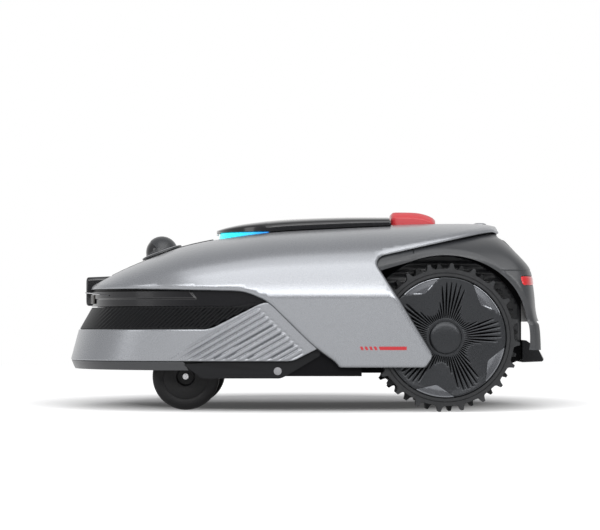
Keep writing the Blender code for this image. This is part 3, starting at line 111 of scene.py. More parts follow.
def ramp_node(tree, factor, low, high, dark, light):
    """A ramp from one colour or level to another as the factor goes from low to high."""
    node = add_node(tree, "ShaderNodeMapRange")
    node.inputs["From Min"].default_value = low
    node.inputs["From Max"].default_value = high
    node.inputs["To Min"].default_value = dark
    node.inputs["To Max"].default_value = light
    tree.links.new(factor, node.inputs["Value"])
    return node.outputs["Result"]


def mix_node(tree, factor, first, second, blend="MIX"):
    node = add_node(tree, "ShaderNodeMix", data_type="RGBA", blend_type=blend)
    for number, value in zip(MIX_INPUTS, (factor, first, second)):
        if isinstance(value, bpy.types.NodeSocket):
            tree.links.new(value, node.inputs[number])
        else:
            node.inputs[number].default_value = value
    return node.outputs[MIX_RESULT]


def shade(colour, factor):
    return tuple(min(1.0, part * factor) for part in colour) + (1.0,)


def finish(slot, colour, roughness, metallic=0.0, grain=900.0, bump=0.05, cloud=0.10, wear_and_highlight=1.5, coat=0.0,
           gloss=0.5):
    """A finish with clouded colour, a grain that light catches, uneven gloss, and paler edges from wear and
    a painted highlight.
    """
    made = bpy.data.materials.new(slot)
    made.use_nodes = True
    tree = made.node_tree
    shader = tree.nodes["Principled BSDF"]
    place = add_node(tree, "ShaderNodeTexCoord").outputs["Object"]
    slow = noise_node(tree, place, CLOUD_SCALE)
    base = mix_node(tree, slow, shade(colour, 1.0 - cloud), shade(colour, 1.0 + cloud))
    # Convex edges turn paler: partly wear, partly a painted highlight along the edges.
    edge = add_node(tree, "ShaderNodeNewGeometry").outputs["Pointiness"]
    worn_and_highlit = ramp_node(tree, edge, *WORN_AND_HIGHLIT_EDGE, 0.0, WORN_AND_HIGHLIT_SHARE)
    tree.links.new(mix_node(tree, worn_and_highlit, base, shade(colour, wear_and_highlight)), shader.inputs["Base Color"])
    fine = noise_node(tree, place, grain, detail=2.0)
    low, high = (roughness * share for share in GLOSS_SPREAD)
    tree.links.new(ramp_node(tree, fine, *NOISE_SPAN, low, high), shader.inputs["Roughness"])
    shader.inputs["Metallic"].default_value = metallic
    shader.inputs["Specular IOR Level"].default_value = gloss
    shader.inputs["Coat Weight"].default_value = coat
    shader.inputs["Coat Roughness"].default_value = COAT_ROUGHNESS
    relief = add_node(tree, "ShaderNodeBump")
    relief.inputs["Strength"].default_value = bump
    relief.inputs["Distance"].default_value = GRAIN_DEPTH
    tree.links.new(fine, relief.inputs["Height"])
    tree.links.new(relief.outputs["Normal"], shader.inputs["Normal"])
    FINISHES[slot] = made


print("edges turn paler where their pointiness passes", WORN_AND_HIGHLIT_EDGE[0])

# %% [markdown]
# ## The finishes of this machine
# Silver paint carries most of the look: metallic, half rough, with a faint orange peel. The black
# pieces are close in colour and differ in gloss. The tyre is the roughest thing on the machine. Each
# finish could be a node tree drawn by hand. One line for each is easier to compare and to change.

# %% Plain finishes
finish("silver_paint", (0.262, 0.270, 0.285), 0.28, 0.85, grain=1500.0, bump=0.012, cloud=0.025, wear_and_highlight=1.12)
finish("dark_grey", (0.024, 0.0255, 0.028), 0.34, grain=1300.0, bump=0.10, cloud=0.10, wear_and_highlight=1.9)
finish("wheel_grey", (0.022, 0.0235, 0.026), 0.30, 0.60, grain=1300.0, bump=0.08, cloud=0.10, wear_and_highlight=1.6)
finish("facet_grey", (0.170, 0.176, 0.188), 0.16, 0.85, grain=1300.0, bump=0.03, cloud=0.08, wear_and_highlight=1.5)
finish("black_plastic", (0.0052, 0.0054, 0.006), 0.46, grain=1100.0, bump=0.14, cloud=0.15, wear_and_highlight=2.2,
       gloss=0.12)
# A shaded copy of black plastic, darker and duller: painted shade on the tub's belly and on the wheel cores
# behind the slots.
finish("painted_shade_black", (0.0035, 0.0035, 0.004), 0.60, grain=900.0, bump=0.16, cloud=0.15, wear_and_highlight=2.2,
       gloss=0.04)
finish("gloss_black", (0.006, 0.006, 0.007), 0.14, grain=700.0, bump=0.01, cloud=0.15, wear_and_highlight=1.5, coat=0.2,
       gloss=0.4)
finish("tyre_rubber", (0.0135, 0.0141, 0.0152), 0.66, grain=420.0, bump=0.25, cloud=0.25, wear_and_highlight=2.0,
       gloss=0.3)
finish("caster_rubber", (0.0065, 0.0065, 0.007), 0.50, grain=520.0, bump=0.18, cloud=0.25, wear_and_highlight=2.2,
       gloss=0.25)
finish("red_plastic", (0.50, 0.030, 0.038), 0.34, grain=900.0, bump=0.06, cloud=0.06, wear_and_highlight=1.25, coat=0.25)
finish("stripe_red", (0.34, 0.024, 0.030), 0.40, grain=900.0, bump=0.06, cloud=0.08, wear_and_highlight=1.2, gloss=0.2)
finish("tail_red", (0.42, 0.010, 0.013), 0.20, grain=260.0, bump=0.10, cloud=0.12, wear_and_highlight=2.4, coat=0.2,
       gloss=0.3)
finish("steel", (0.56, 0.56, 0.57), 0.30, 1.0, grain=700.0, bump=0.10, cloud=0.08, wear_and_highlight=1.2)
finish("blade_steel", (0.62, 0.62, 0.63), 0.24, 1.0, grain=1200.0, bump=0.12, cloud=0.10, wear_and_highlight=1.25)
finish("contact_brass", (0.032, 0.029, 0.026), 0.38, 1.0, grain=800.0, bump=0.06, cloud=0.12, wear_and_highlight=1.4)
finish("board_green", (0.018, 0.11, 0.045), 0.42, grain=300.0, bump=0.20, cloud=0.25, wear_and_highlight=1.5)
finish("grey_plastic", (0.19, 0.19, 0.20), 0.45, grain=1000.0, bump=0.12, cloud=0.10, wear_and_highlight=1.5)
finish("motor_metal", (0.30, 0.30, 0.31), 0.42, 0.9, grain=360.0, bump=0.25, cloud=0.16, wear_and_highlight=1.4)
finish("battery_case", (0.055, 0.055, 0.060), 0.50, grain=800.0, bump=0.16, cloud=0.12, wear_and_highlight=1.7)
print("finishes:", sorted(FINISHES))

# %% [markdown]
# ## The light strip's finish
# The strip under the lid glows cyan at the front and turns to blue further back. Two finishes would meet
# in a hard joint. Here the colour follows the position along the machine, so one finish works on the
# whole curved band.

# %% Glowing strip
STRIP_FRONT_X = -0.124
STRIP_END_X = -0.054
STRIP_CYAN = (0.03, 0.93, 0.96, 1.0)
STRIP_BLUE = (0.015, 0.24, 0.80, 1.0)
STRIP_GLOW = 0.85
STRIP_ROUGHNESS = 0.3
RIPPLE_SCALE = 160.0
RIPPLE_LOW = 0.92


def glowing_strip():
    made = bpy.data.materials.new("light_strip")
    made.use_nodes = True
    tree = made.node_tree
    shader = tree.nodes["Principled BSDF"]
    place = add_node(tree, "ShaderNodeTexCoord").outputs["Object"]
    split = add_node(tree, "ShaderNodeSeparateXYZ")
    tree.links.new(place, split.inputs["Vector"])
    along = ramp_node(tree, split.outputs["X"], STRIP_FRONT_X, STRIP_END_X, 0.0, 1.0)
    ripple = ramp_node(tree, noise_node(tree, place, RIPPLE_SCALE), *NOISE_SPAN, RIPPLE_LOW, 1.0)
    glow = mix_node(tree, along, STRIP_CYAN, STRIP_BLUE)
    glow = mix_node(tree, 1.0, glow, ripple, "MULTIPLY")
    tree.links.new(glow, shader.inputs["Base Color"])
    tree.links.new(glow, shader.inputs["Emission Color"])
    shader.inputs["Emission Strength"].default_value = STRIP_GLOW
    shader.inputs["Roughness"].default_value = STRIP_ROUGHNESS
    FINISHES["light_strip"] = made


glowing_strip()
print("strip glows from x", STRIP_FRONT_X, "to", STRIP_END_X)

# %% [markdown]
# ## Dressing the solids that stay
# Inner pieces, pins, plates and motors already have the right shape. They get their finish and a fine
# rounded edge. The edge could be cut into the mesh, but a Bevel modifier leaves the solid itself
# untouched.

# %% Finish every solid
EDGE_ROUNDING = 0.0005
SHARP_ANGLE = math.radians(38.0)


def round_edges(item, width, segments=2):
    rounding = item.modifiers.new("rounded_edges", "BEVEL")
    rounding.width = width
    rounding.segments = segments
    rounding.limit_method = "ANGLE"
    rounding.angle_limit = SHARP_ANGLE
    rounding.harden_normals = True


PLATE_ROUNDING = 0.0014
# The tub gets the shaded copy of black plastic, which paints shade on its belly.
SPECIAL_LOOKS = {"chassis_tub": "painted_shade_black", "rain_sensor": "silver_paint"}
WIDER_ROUNDING = {"side_plate_left": PLATE_ROUNDING, "side_plate_right": PLATE_ROUNDING}

for row in frame["record"]["subparts"]:
    solid = frame["nodes"][row["node"]]
    look = SPECIAL_LOOKS.get(row["node"], row["material_slot"])
    solid.data.materials.clear()
    solid.data.materials.append(FINISHES[look])
    solid.data.shade_smooth()
    solid.data.set_sharp_from_angle(angle=SHARP_ANGLE)
    round_edges(solid, WIDER_ROUNDING.get(row["node"], EDGE_ROUNDING))
print("finished solids:", len(frame["nodes"]))

# %% [markdown]
# ## Helpers for curved shells
# Moulded shells are best made as one smooth grid of points that is then cut to its outline, as a sheet
# of metal is. The first helpers draw lines: a smooth curve through a few measured points, a soft step,
# an arc bent by four handles and a polygon with rounded corners.

# %% Curves and outlines
CORNER_SHARE = 0.45


def spread(low, high, count):
    """Evenly spaced values from low to high."""
    return [low + (high - low) * i / (count - 1) for i in range(count)]


def between(points, place):
    """A smooth curve through (place, value) points, read at one place."""
    if place <= points[0][0]:
        return points[0][1]
    if place >= points[-1][0]:
        return points[-1][1]
    k = max(i for i in range(len(points) - 1) if points[i][0] <= place)

    def slope(i):
        low = points[max(i - 1, 0)]
        high = points[min(i + 1, len(points) - 1)]
        return (high[1] - low[1]) / (high[0] - low[0])

    (x0, v0), (x1, v1) = points[k], points[k + 1]
    span = x1 - x0
    t = (place - x0) / span
    return (v0 * (1 + 2 * t) * (1 - t) ** 2 + slope(k) * span * t * (1 - t) ** 2
            + v1 * t * t * (3 - 2 * t) + slope(k + 1) * span * t * t * (t - 1))


def ease(low, high, value):
    """0 below low, 1 above high, and a soft step between them."""
    t = np.clip((value - low) / (high - low), 0.0, 1.0)
    return t * t * (3.0 - 2.0 * t)


def cubic(handles, t):
    """A point on the smooth arc that four handles bend."""
    weights = ((1 - t) ** 3, 3 * t * (1 - t) ** 2, 3 * t * t * (1 - t), t ** 3)
    return tuple(sum(w * handle[k] for w, handle in zip(weights, handles)) for k in (0, 1))


def rounded(outline, radius, steps=6):
    """An outline with its corners rounded off, by a shorter radius where its sides are short."""
    points = []
    for i, corner in enumerate(outline):
        here = Vector(corner)
        back = Vector(outline[i - 1]) - here
        ahead = Vector(outline[(i + 1) % len(outline)]) - here
        reach = min(radius, back.length * CORNER_SHARE, ahead.length * CORNER_SHARE)
        start = here + back.normalized() * reach
        end = here + ahead.normalized() * reach
        for t in spread(0.0, 1.0, steps + 1):
            points.append(tuple(start * (1 - t) ** 2 + here * 2 * t * (1 - t) + end * t * t))
    return points


print("a square with rounded corners has", len(rounded(((0, 0), (1, 0), (1, 1), (0, 1)), 0.1)), "points")

# %% [markdown]
# ## Cutting a shell to its outline
# A Boolean would leave slivers along a cut. Here every point of the grid knows its distance to the
# cutting line, which is a field in the language of geometry nodes. Points close to the line move onto
# it, and longer edges are split there. The rim stays even, so it can be rolled in afterwards.

# %% Distance to an outline
FROM_SIDE = (0, 2)
FROM_ABOVE = (0, 1)
FROM_BEHIND = (1, 2)
LEAST_LENGTH = 1e-12


def outline_field(outline, axes=FROM_SIDE):
    """A function of mesh points: their distance to a closed outline, negative inside it."""
    start = np.array(outline)
    end = np.roll(start, -1, axis=0)
    span = end - start
    length = np.maximum((span ** 2).sum(1), LEAST_LENGTH)

    def field(verts):
        spots = np.array([(v.co[axes[0]], v.co[axes[1]]) for v in verts])
        reach = spots[:, None, :] - start[None]
        t = np.clip((reach * span).sum(2) / length, 0.0, 1.0)
        near = np.linalg.norm(reach - t[..., None] * span, axis=2).min(1)
        above = spots[:, None, 1]
        crossing = (start[:, 1] > above) != (end[:, 1] > above)
        rise = np.where(span[:, 1] == 0.0, 1.0, span[:, 1])
        left = spots[:, None, 0] < start[:, 0] + span[:, 0] * (above - start[:, 1]) / rise
        inside = (crossing & left).sum(1) % 2 == 1
        return np.where(inside, -near, near)

    return field


print("outlines are drawn from the side, from above or from behind:", FROM_SIDE, FROM_ABOVE, FROM_BEHIND)

# %% Cutting a grid along a line
SNAP = 0.3
ROLL_BEND = 0.4
ROLL_POWER = 1.5


def score(shape, field, level=0.0):
    """Draws a line of edges where the field has this level, and returns each point's height over it."""
    verts = list(shape.verts)
    height = dict(zip(verts, field(verts) - level))
    moves = {}
    for edge in shape.edges:
        a, b = edge.verts
        if height[a] * height[b] < 0.0:
            t = height[a] / (height[a] - height[b])
            for vert, other, share in ((a, b, t), (b, a, 1.0 - t)):
                if share < moves.get(vert, (SNAP, None))[0]:
                    moves[vert] = (share, vert.co.lerp(other.co, share))
    for vert, (_, place) in moves.items():
        vert.co = place
        height[vert] = 0.0
    for edge in list(shape.edges):
        a, b = edge.verts
        if height[a] * height[b] < 0.0:
            made = bmesh.utils.edge_split(edge, a, height[a] / (height[a] - height[b]))[1]
            height[made] = 0.0
    for face in list(shape.faces):
        corners = list(face.verts)
        if min(height[v] for v in corners) < 0.0 < max(height[v] for v in corners):
            split_face(face, corners, height)
    return height


def split_face(face, corners, height):
    """Parts a face between the two points of the line that bound its positive side."""
    count = len(corners)
    first = next(i for i in range(count) if height[corners[i]] > 0.0 >= height[corners[i - 1]])
    last = first
    while height[corners[(last + 1) % count]] > 0.0:
        last += 1
    a, b = corners[first - 1], corners[(last + 1) % count]
    if a is not b and height[a] == 0.0 == height[b]:
        bmesh.utils.face_split(face, a, b)


def trim(shape, field):
    """Cuts the grid along the field's zero line and throws away the negative side."""
    height = score(shape, field)
    gone = [face for face in shape.faces if min(height[v] for v in face.verts) < 0.0]
    bmesh.ops.delete(shape, geom=gone, context="FACES")


def roll_in(shape, field, width, depth):
    """Rolls the rim of a cut grid inwards. The depth is a number, or a function of the place."""
    score(shape, field, width)
    score(shape, field, width * ROLL_BEND)
    shape.normal_update()
    verts = list(shape.verts)
    for vert, distance in zip(verts, field(verts)):
        if distance < width:
            share = (1.0 - max(distance, 0.0) / width) ** ROLL_POWER
            vert.co -= vert.normal * share * (depth(vert.co) if callable(depth) else depth)


print("a point moves onto a cut from up to", SNAP, "of an edge away")

# %% [markdown]
# ## From points to pieces
# Three kinds of mesh do for the whole machine: an open grid for shells, a loft for closed bars and a
# lathe for round pieces. Solidify gives a shell its wall. One function then makes the object, gives it
# its finish, hangs it on an empty for the body it rides on and hides the solids it stands for.

# %% Grids, lofts and lathes
SAME_POINT = 0.00002
SAME_TURNED_POINT = 0.000002
NO_LENGTH = 0.000001


def grid(rows):
    """An open sheet of quads through rows of points."""
    shape = bmesh.new()
    made = [[shape.verts.new(point) for point in row] for row in rows]
    for near, far in zip(made, made[1:]):
        for i in range(len(near) - 1):
            shape.faces.new((near[i], near[i + 1], far[i + 1], far[i]))
    bmesh.ops.remove_doubles(shape, verts=shape.verts, dist=SAME_POINT)
    return shape


def loft(rings):
    """A closed form through rings of points, with a cap at each end."""
    shape = bmesh.new()
    made = [[shape.verts.new(point) for point in ring] for ring in rings]
    count = len(made[0])
    for near, far in zip(made, made[1:]):
        for i in range(count):
            j = (i + 1) % count
            shape.faces.new((near[i], near[j], far[j], far[i]))
    shape.faces.new(made[0])
    shape.faces.new(made[-1])
    bmesh.ops.recalc_face_normals(shape, faces=shape.faces)
    return shape


def lathe(profile, steps=96):
    """A profile of (radius, height) points turned about Z. A radius of 0 closes it on the axis."""
    rings = [[(r * math.cos(a), r * math.sin(a), h) for a in spread(0.0, 2 * math.pi, steps + 1)[:-1]]
             for r, h in profile]
    shape = bmesh.new()
    made = [[shape.verts.new(point) for point in ring] for ring in rings]
    for near, far in zip(made, made[1:] + made[:1]):
        for i in range(steps):
            j = (i + 1) % steps
            shape.faces.new((near[i], near[j], far[j], far[i]))
    bmesh.ops.remove_doubles(shape, verts=shape.verts, dist=SAME_TURNED_POINT)
    bmesh.ops.dissolve_degenerate(shape, edges=shape.edges, dist=NO_LENGTH)
    bmesh.ops.recalc_face_normals(shape, faces=shape.faces)
    return shape


def face_outwards(shape, centre):
    """Turns an open sheet so that its faces look away from a point."""
    shape.normal_update()
    outward = sum((face.calc_center_median() - Vector(centre)).dot(face.normal) for face in shape.faces)
    if outward < 0.0:
        bmesh.ops.reverse_faces(shape, faces=shape.faces)
    shape.normal_update()


print("points closer than", SAME_POINT, "m become one")

# %% Making a piece


def piece(name, shape, slot, body, nodes=(), wall=0.0, rounding=0.0, place=None, look=None,
          sharp=SHARP_ANGLE):
    """Makes the mesh an object with its finish, hangs it on its body's empty and hides the solids it stands
    for.
    """
    mesh = bpy.data.meshes.new(name)
    if place is not None:
        bmesh.ops.transform(shape, matrix=place, verts=shape.verts)
    shape.to_mesh(mesh)
    shape.free()
    item = bpy.data.objects.new(name, mesh)
    bpy.context.scene.collection.objects.link(item)
    mesh.materials.append(FINISHES[look or slot])
    mesh.shade_smooth()
    mesh.set_sharp_from_angle(angle=sharp)
    if wall:
        thick = item.modifiers.new("wall", "SOLIDIFY")
        thick.thickness = wall
        thick.offset = -1.0
        thick.use_even_offset = True
    if rounding:
        round_edges(item, rounding)
    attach(item, body)
    if nodes:
        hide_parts(*nodes)
    print(name, "faces", len(mesh.polygons))
    return item


print("edges sharper than", round(math.degrees(SHARP_ANGLE)), "degrees stay sharp")

# %% [markdown]
# ## The silver shell
# The body is a smooth section that changes along the machine: a lean side, a soft crease, a round
# shoulder and a top line that falls to the nose. It could be sculpted, but a section that follows a few
# measured lines stays smooth and is the same on both sides. The shell is that surface, cut away under
# the hood and round the wheel. Its rims are rolled in, so they catch a bright line of light as the real
# moulding does. Along the tail the rim is rolled deeper, down to the rear shell.

# %% Body surface
HALF_WIDTH = 0.218
CREASE_Z = 0.151
SIDE_TUCK = 0.010
SHELL_BOTTOM_Z = 0.0587
SHELL_NOSE_X = -0.308
SHELL_TAIL_X = 0.2602
SHELL_STRAIGHT_X = -0.060
NOSE_POWER = 3.0
SIDE_POWER = 2.4
TOP_LINE = ((-0.308, 0.1640), (-0.276, 0.1799), (-0.247, 0.1939), (-0.180, 0.2203), (-0.146, 0.2289),
            (-0.125, 0.2328), (-0.053, 0.2435), (0.045, 0.2497), (0.113, 0.2528), (0.178, 0.2546),
            (0.240, 0.2540), (0.262, 0.2500))
SHOULDER_RISE = 0.80
SHOULDER_LEAN = 0.16
SHOULDER_WIDTH = 0.72
HALVINGS = 40
UPPER_POINTS = 34
SIDE_POINTS = 26
LEAST_FOOT = 0.004


def shell_half(x, inset=0.0):
    """Half the width at one place along the machine."""
    nose = SHELL_NOSE_X + inset
    t = max(0.0, (SHELL_STRAIGHT_X - x) / (SHELL_STRAIGHT_X - nose))
    return (HALF_WIDTH - inset) * max(1.0 - t ** NOSE_POWER, 0.0) ** (1.0 / SIDE_POWER)


def side_half(z):
    """Half the width at one height of the lean side below the crease."""
    return HALF_WIDTH - SIDE_TUCK * max(0.0, (CREASE_Z - z) / (CREASE_Z - SHELL_BOTTOM_Z))


def shell_upper(x, t, inset=0.0):
    """A point (y, z) above the crease: t is 0 at the crease and 1 at the centre line."""
    half = shell_half(x, inset)
    top = between(TOP_LINE, x) - inset
    rise = (top - CREASE_Z) * SHOULDER_RISE
    shoulder = (half - SHOULDER_LEAN * rise, CREASE_Z + rise)
    return cubic(((half, CREASE_Z), shoulder, (half * SHOULDER_WIDTH, top), (0.0, top)), t)


def find(test):
    """The largest t from 0 to 1 for which the test still holds."""
    low, high = 0.0, 1.0
    for _ in range(HALVINGS):
        t = (low + high) / 2
        if test(t):
            low = t
        else:
            high = t
    return low


def shell_height(x, y):
    """Height of the shell over a place on the ground."""
    return shell_upper(x, find(lambda t: shell_upper(x, t)[0] > abs(y)))[1]


def mirrored(x, half):
    """A ring across the machine from the (y, z) points of one half."""
    ring = [Vector((x, y, z)) for y, z in half]
    return ring + [Vector((x, -y, z)) for y, z in reversed(half[:-1])]


def shell_ring(x):
    side = [shell_upper(x, t) for t in spread(0.0, 1.0, UPPER_POINTS)]
    foot = max(side[0][0] - SIDE_TUCK, LEAST_FOOT)
    below = [(foot + (side[0][0] - foot) * t, SHELL_BOTTOM_Z + (CREASE_Z - SHELL_BOTTOM_Z) * t)
             for t in spread(0.0, 1.0, SIDE_POINTS)[:-1]]
    return mirrored(x, below + side)


print("the shell is", round(2 * shell_half(0.0), 3), "m wide and", max(z for _, z in TOP_LINE), "m high")

# %% Cut lines of the shell
HOOD_EDGE_Z = 0.1590
HOOD_NOSE_RISE = 0.0085
FAR = 0.40
FRONT_CUT = ((-FAR, HOOD_EDGE_Z + HOOD_NOSE_RISE), (-0.0834, HOOD_EDGE_Z), (-0.0545, 0.1457),
             (0.0098, 0.0824), (0.0453, SHELL_BOTTOM_Z), (0.0453, 0.0), (-FAR, 0.0))
ARCH_CUT = ((0.1537, 0.0), (0.1537, SHELL_BOTTOM_Z), (0.1650, 0.0728), (0.0893, 0.1962), (0.0945, 0.2072),
            (0.2386, 0.2425), (0.2560, 0.2455), (FAR, 0.2455), (FAR, 0.0))
LID_NOSE_X = -0.128
LID_STRAIGHT_X = -0.020
LID_REAR_X = 0.113
LID_HALF = 0.095
LID_POWER = 2.3
LID_LAST_STEP = 0.001
STOP_X = (0.1155, 0.1765)
STOP_HALF = 0.046
CAMERA_X = (-0.3070, -0.2727)
CAMERA_HALF = 0.046
CAMERA_GAP = 0.0004
LIDAR_X = -0.2035
LIDAR_LEAN = math.radians(20.0)
LIDAR_NECK = 0.0255
LIDAR_GAP = 0.0006


def lid_plan(inset, rear_x, steps=40):
    """The lid's outline from above, drawn in by an inset and cut straight at the rear."""
    length = LID_STRAIGHT_X - LID_NOSE_X - inset
    straight_x = min(LID_STRAIGHT_X, rear_x - LID_LAST_STEP)
    widest = math.acos(((LID_STRAIGHT_X - straight_x) / length) ** (LID_POWER / 2.0))
    half = []
    for turn in spread(0.0, widest, steps):
        x = LID_STRAIGHT_X - length * math.cos(turn) ** (2.0 / LID_POWER)
        half.append((x, (LID_HALF - inset) * math.sin(turn)))
    half.append((rear_x, half[-1][1]))
    return half + [(x, -y) for x, y in reversed(half[1:])]


def rectangle(low_x, high_x, half, rounding=0.006):
    return rounded(((low_x, -half), (high_x, -half), (high_x, half), (low_x, half)), rounding)


def camera_opening(gap=CAMERA_GAP):
    """The opening that a shell leaves for the camera block, seen from above."""
    return outline_field(rectangle(-FAR, CAMERA_X[1] + gap, CAMERA_HALF + gap), FROM_ABOVE)


def lidar_place():
    """Where the LiDAR's own axis stands: on the hood's line, leaning back."""
    foot = Vector((LIDAR_X, 0.0, between(TOP_LINE, LIDAR_X)))
    return Matrix.Translation(foot) @ Matrix.Rotation(-LIDAR_LEAN, 4, "Y")


def lidar_field(verts):
    back = lidar_place().inverted()
    return np.array([(back @ v.co).xy.length - LIDAR_NECK - LIDAR_GAP for v in verts])


print("the lid's opening runs from x", LID_NOSE_X, "to", LID_REAR_X)

# %% Silver shell
SHELL_WALL = 0.003
SHELL_CENTRE = (0.0, 0.0, 0.12)
SHELL_STATIONS = 148
STATION_POWER = 1.35
NOSE_START = 0.0005
TAIL_LENGTH = 0.0055
TAIL_PAST = 0.0010
TAIL_STATIONS = 9
HOOD_ROUNDING = 0.020
ARCH_ROUNDING = 0.014
RIM = (0.0042, 0.0030)
TAIL_DROP = 0.0055
TAIL_RIM_X = (0.250, 0.256)
TAIL_RIM_Y = (0.085, 0.135)
LID_OPENING_INSET = 0.0015
LID_REAR_GAP = 0.0005
STOP_GAP = 0.001


def rim_depth(spot):
    """How deep the rim is rolled in: most along the tail, where it reaches down to the rear shell."""
    along = float(ease(*TAIL_RIM_X, spot.x))
    across = float(ease(*TAIL_RIM_Y, abs(spot.y)))
    return RIM[1] + TAIL_DROP * along * (1.0 - across)


def silver_shell():
    length = SHELL_TAIL_X - SHELL_NOSE_X - TAIL_LENGTH
    steps = [t ** STATION_POWER for t in spread(0.0, 1.0, SHELL_STATIONS)]
    stations = [SHELL_NOSE_X + NOSE_START + length * step for step in steps]
    stations += spread(SHELL_TAIL_X - RIM[0], SHELL_TAIL_X + TAIL_PAST, TAIL_STATIONS)
    shape = grid([shell_ring(x) for x in stations])
    face_outwards(shape, SHELL_CENTRE)
    under_hood = outline_field(rounded(FRONT_CUT, HOOD_ROUNDING))
    round_wheel = outline_field(rounded(ARCH_CUT, ARCH_ROUNDING))
    stop_opening = rectangle(STOP_X[0] - STOP_GAP, STOP_X[1] + STOP_GAP, STOP_HALF + STOP_GAP)

    def rear_rim(verts):
        return np.minimum(round_wheel(verts), [SHELL_TAIL_X - v.co.x for v in verts])

    trim(shape, under_hood)
    trim(shape, rear_rim)
    roll_in(shape, rear_rim, RIM[0], rim_depth)
    roll_in(shape, under_hood, *RIM)
    trim(shape, outline_field(lid_plan(LID_OPENING_INSET, LID_REAR_X + LID_REAR_GAP), FROM_ABOVE))
    trim(shape, outline_field(stop_opening, FROM_ABOVE))
    trim(shape, camera_opening())
    trim(shape, lidar_field)
    piece("silver_shell", shape, "silver_paint", "chassis", ("top_shell",), wall=SHELL_WALL)


silver_shell()

# %% [markdown]
# ## The front bumper
# The bumper is a band that wraps the nose and leans in as it rises. It could be drawn by hand in rings,
# but the lip and the grille wrap the same nose, so one helper makes rows of points for all three. The
# points are close together where ribs will be, and their columns can lean as the ribs do.

# %% Band round the nose
BUMPER_PROFILE = ((0.0545, -0.3250), (0.0665, -0.3302), (0.1086, -0.3189), (0.1380, -0.3020),
                  (0.1674, -0.2851))
BUMPER_INSET = 0.0042
BUMPER_STEP = 0.0012
NOSE_STEP = 0.0032
NOSE_POWERS = (NOSE_POWER, SIDE_POWER)
NOSE_LEAN_X = (-0.30, -0.24)
STRAIGHT_STEPS = 200


def straight_line(points, place):
    return float(np.interp(place, [p[0] for p in points], [p[1] for p in points]))


def even_points(curve, step_at):
    """Walks along a dense curve and keeps a point after every step, whose length may depend on x."""
    kept = [curve[0]]
    walked = 0.0
    for near, far in zip(curve, curve[1:]):
        walked += (far - near).length
        if walked >= step_at(far.x):
            kept.append(far)
            walked = 0.0
    return kept + [curve[-1]]


def even_count(curve, count):
    """The given number of points at even spacing along a dense curve."""
    spots = np.array(curve)
    walked = np.concatenate(([0.0], np.cumsum(np.linalg.norm(np.diff(spots, axis=0), axis=1))))
    wanted = np.linspace(0.0, walked[-1], count)
    return [Vector([np.interp(w, walked, spots[:, k]) for k in range(3)]) for w in wanted]


def end_curve(nose_x, half, straight_x, powers, back_x, steps=1600):
    """One half of a level outline, from the middle of the rounded end to the back."""
    reach = nose_x - straight_x
    curve = []
    for turn in spread(0.0, math.pi / 2, steps):
        along = abs(math.cos(turn)) ** (2.0 / powers[0])
        aside = abs(math.sin(turn)) ** (2.0 / powers[1])
        curve.append(Vector((straight_x + reach * along, half * aside, 0.0)))
    return curve + [Vector((x, half, 0.0)) for x in spread(straight_x, back_x, STRAIGHT_STEPS)[1:]]


def both_sides(half):
    """A row across the machine: one half of it, and before that its mirror image."""
    return [Vector((p.x, -p.y, p.z)) for p in reversed(half[1:])] + half


def nose_band(levels, inset, back_x, fine_x, lean=0.0, lean_x=NOSE_LEAN_X):
    """Rows of points round the nose, one for each height, close together behind fine_x.

    The columns lean back from row to row, fully behind the second lean_x, so that ribs can follow them.
    """
    middle = levels[len(levels) // 2]
    half = side_half(middle) - BUMPER_INSET - inset
    curve = end_curve(straight_line(BUMPER_PROFILE, middle) + inset, half, SHELL_STRAIGHT_X, NOSE_POWERS,
                      back_x)
    kept = even_points(curve, lambda x: BUMPER_STEP if x > fine_x else NOSE_STEP)
    nose = curve[0].x
    along, aside = [p.x for p in curve], [p.y for p in curve]
    rows = []
    for z in levels:
        wider = (side_half(z) - BUMPER_INSET - inset) / half
        longer = straight_line(BUMPER_PROFILE, z) + inset - SHELL_STRAIGHT_X
        row = []
        for point in kept:
            shift = lean * (z - middle) * float(ease(*lean_x, point.x))
            x = min(point.x + shift, back_x)
            y = float(np.interp(x, along, aside)) if shift else point.y
            if x < SHELL_STRAIGHT_X:
                x = SHELL_STRAIGHT_X + (x - SHELL_STRAIGHT_X) * longer / (nose - SHELL_STRAIGHT_X)
            row.append(Vector((x, y * wider, z)))
        rows.append(both_sides(row))
    return rows


print("the bumper is furthest forward at x", min(x for _, x in BUMPER_PROFILE))

# %% [markdown]
# ## Ribs on the bumper's sides
# Each side carries eleven slanted ribs that end in a round nose near the shell and run out towards the
# front. Eleven bars could be modelled and joined on. It is simpler to raise the band itself, by a
# height that depends on the place along and across the ribs. The band's columns lean with the ribs, so
# their flanks stay straight.

# %% Slanted ribs
RIBS = 11
RIB_PITCH = 0.0073
RIB_SLOPE = math.radians(29.5)
RIB_START = (-0.0625, 0.1347)
RIB_END_DRIFT = 0.288
RIB_RAISE = 0.0022
RIB_SINK = 0.0014
RIB_CREST = (0.40, 1.0)
RIB_BED = (0.9, 1.9)
RIB_FADE_X = (-0.188, -0.140)
RIB_FADE_Z = (0.0672, 0.0705)


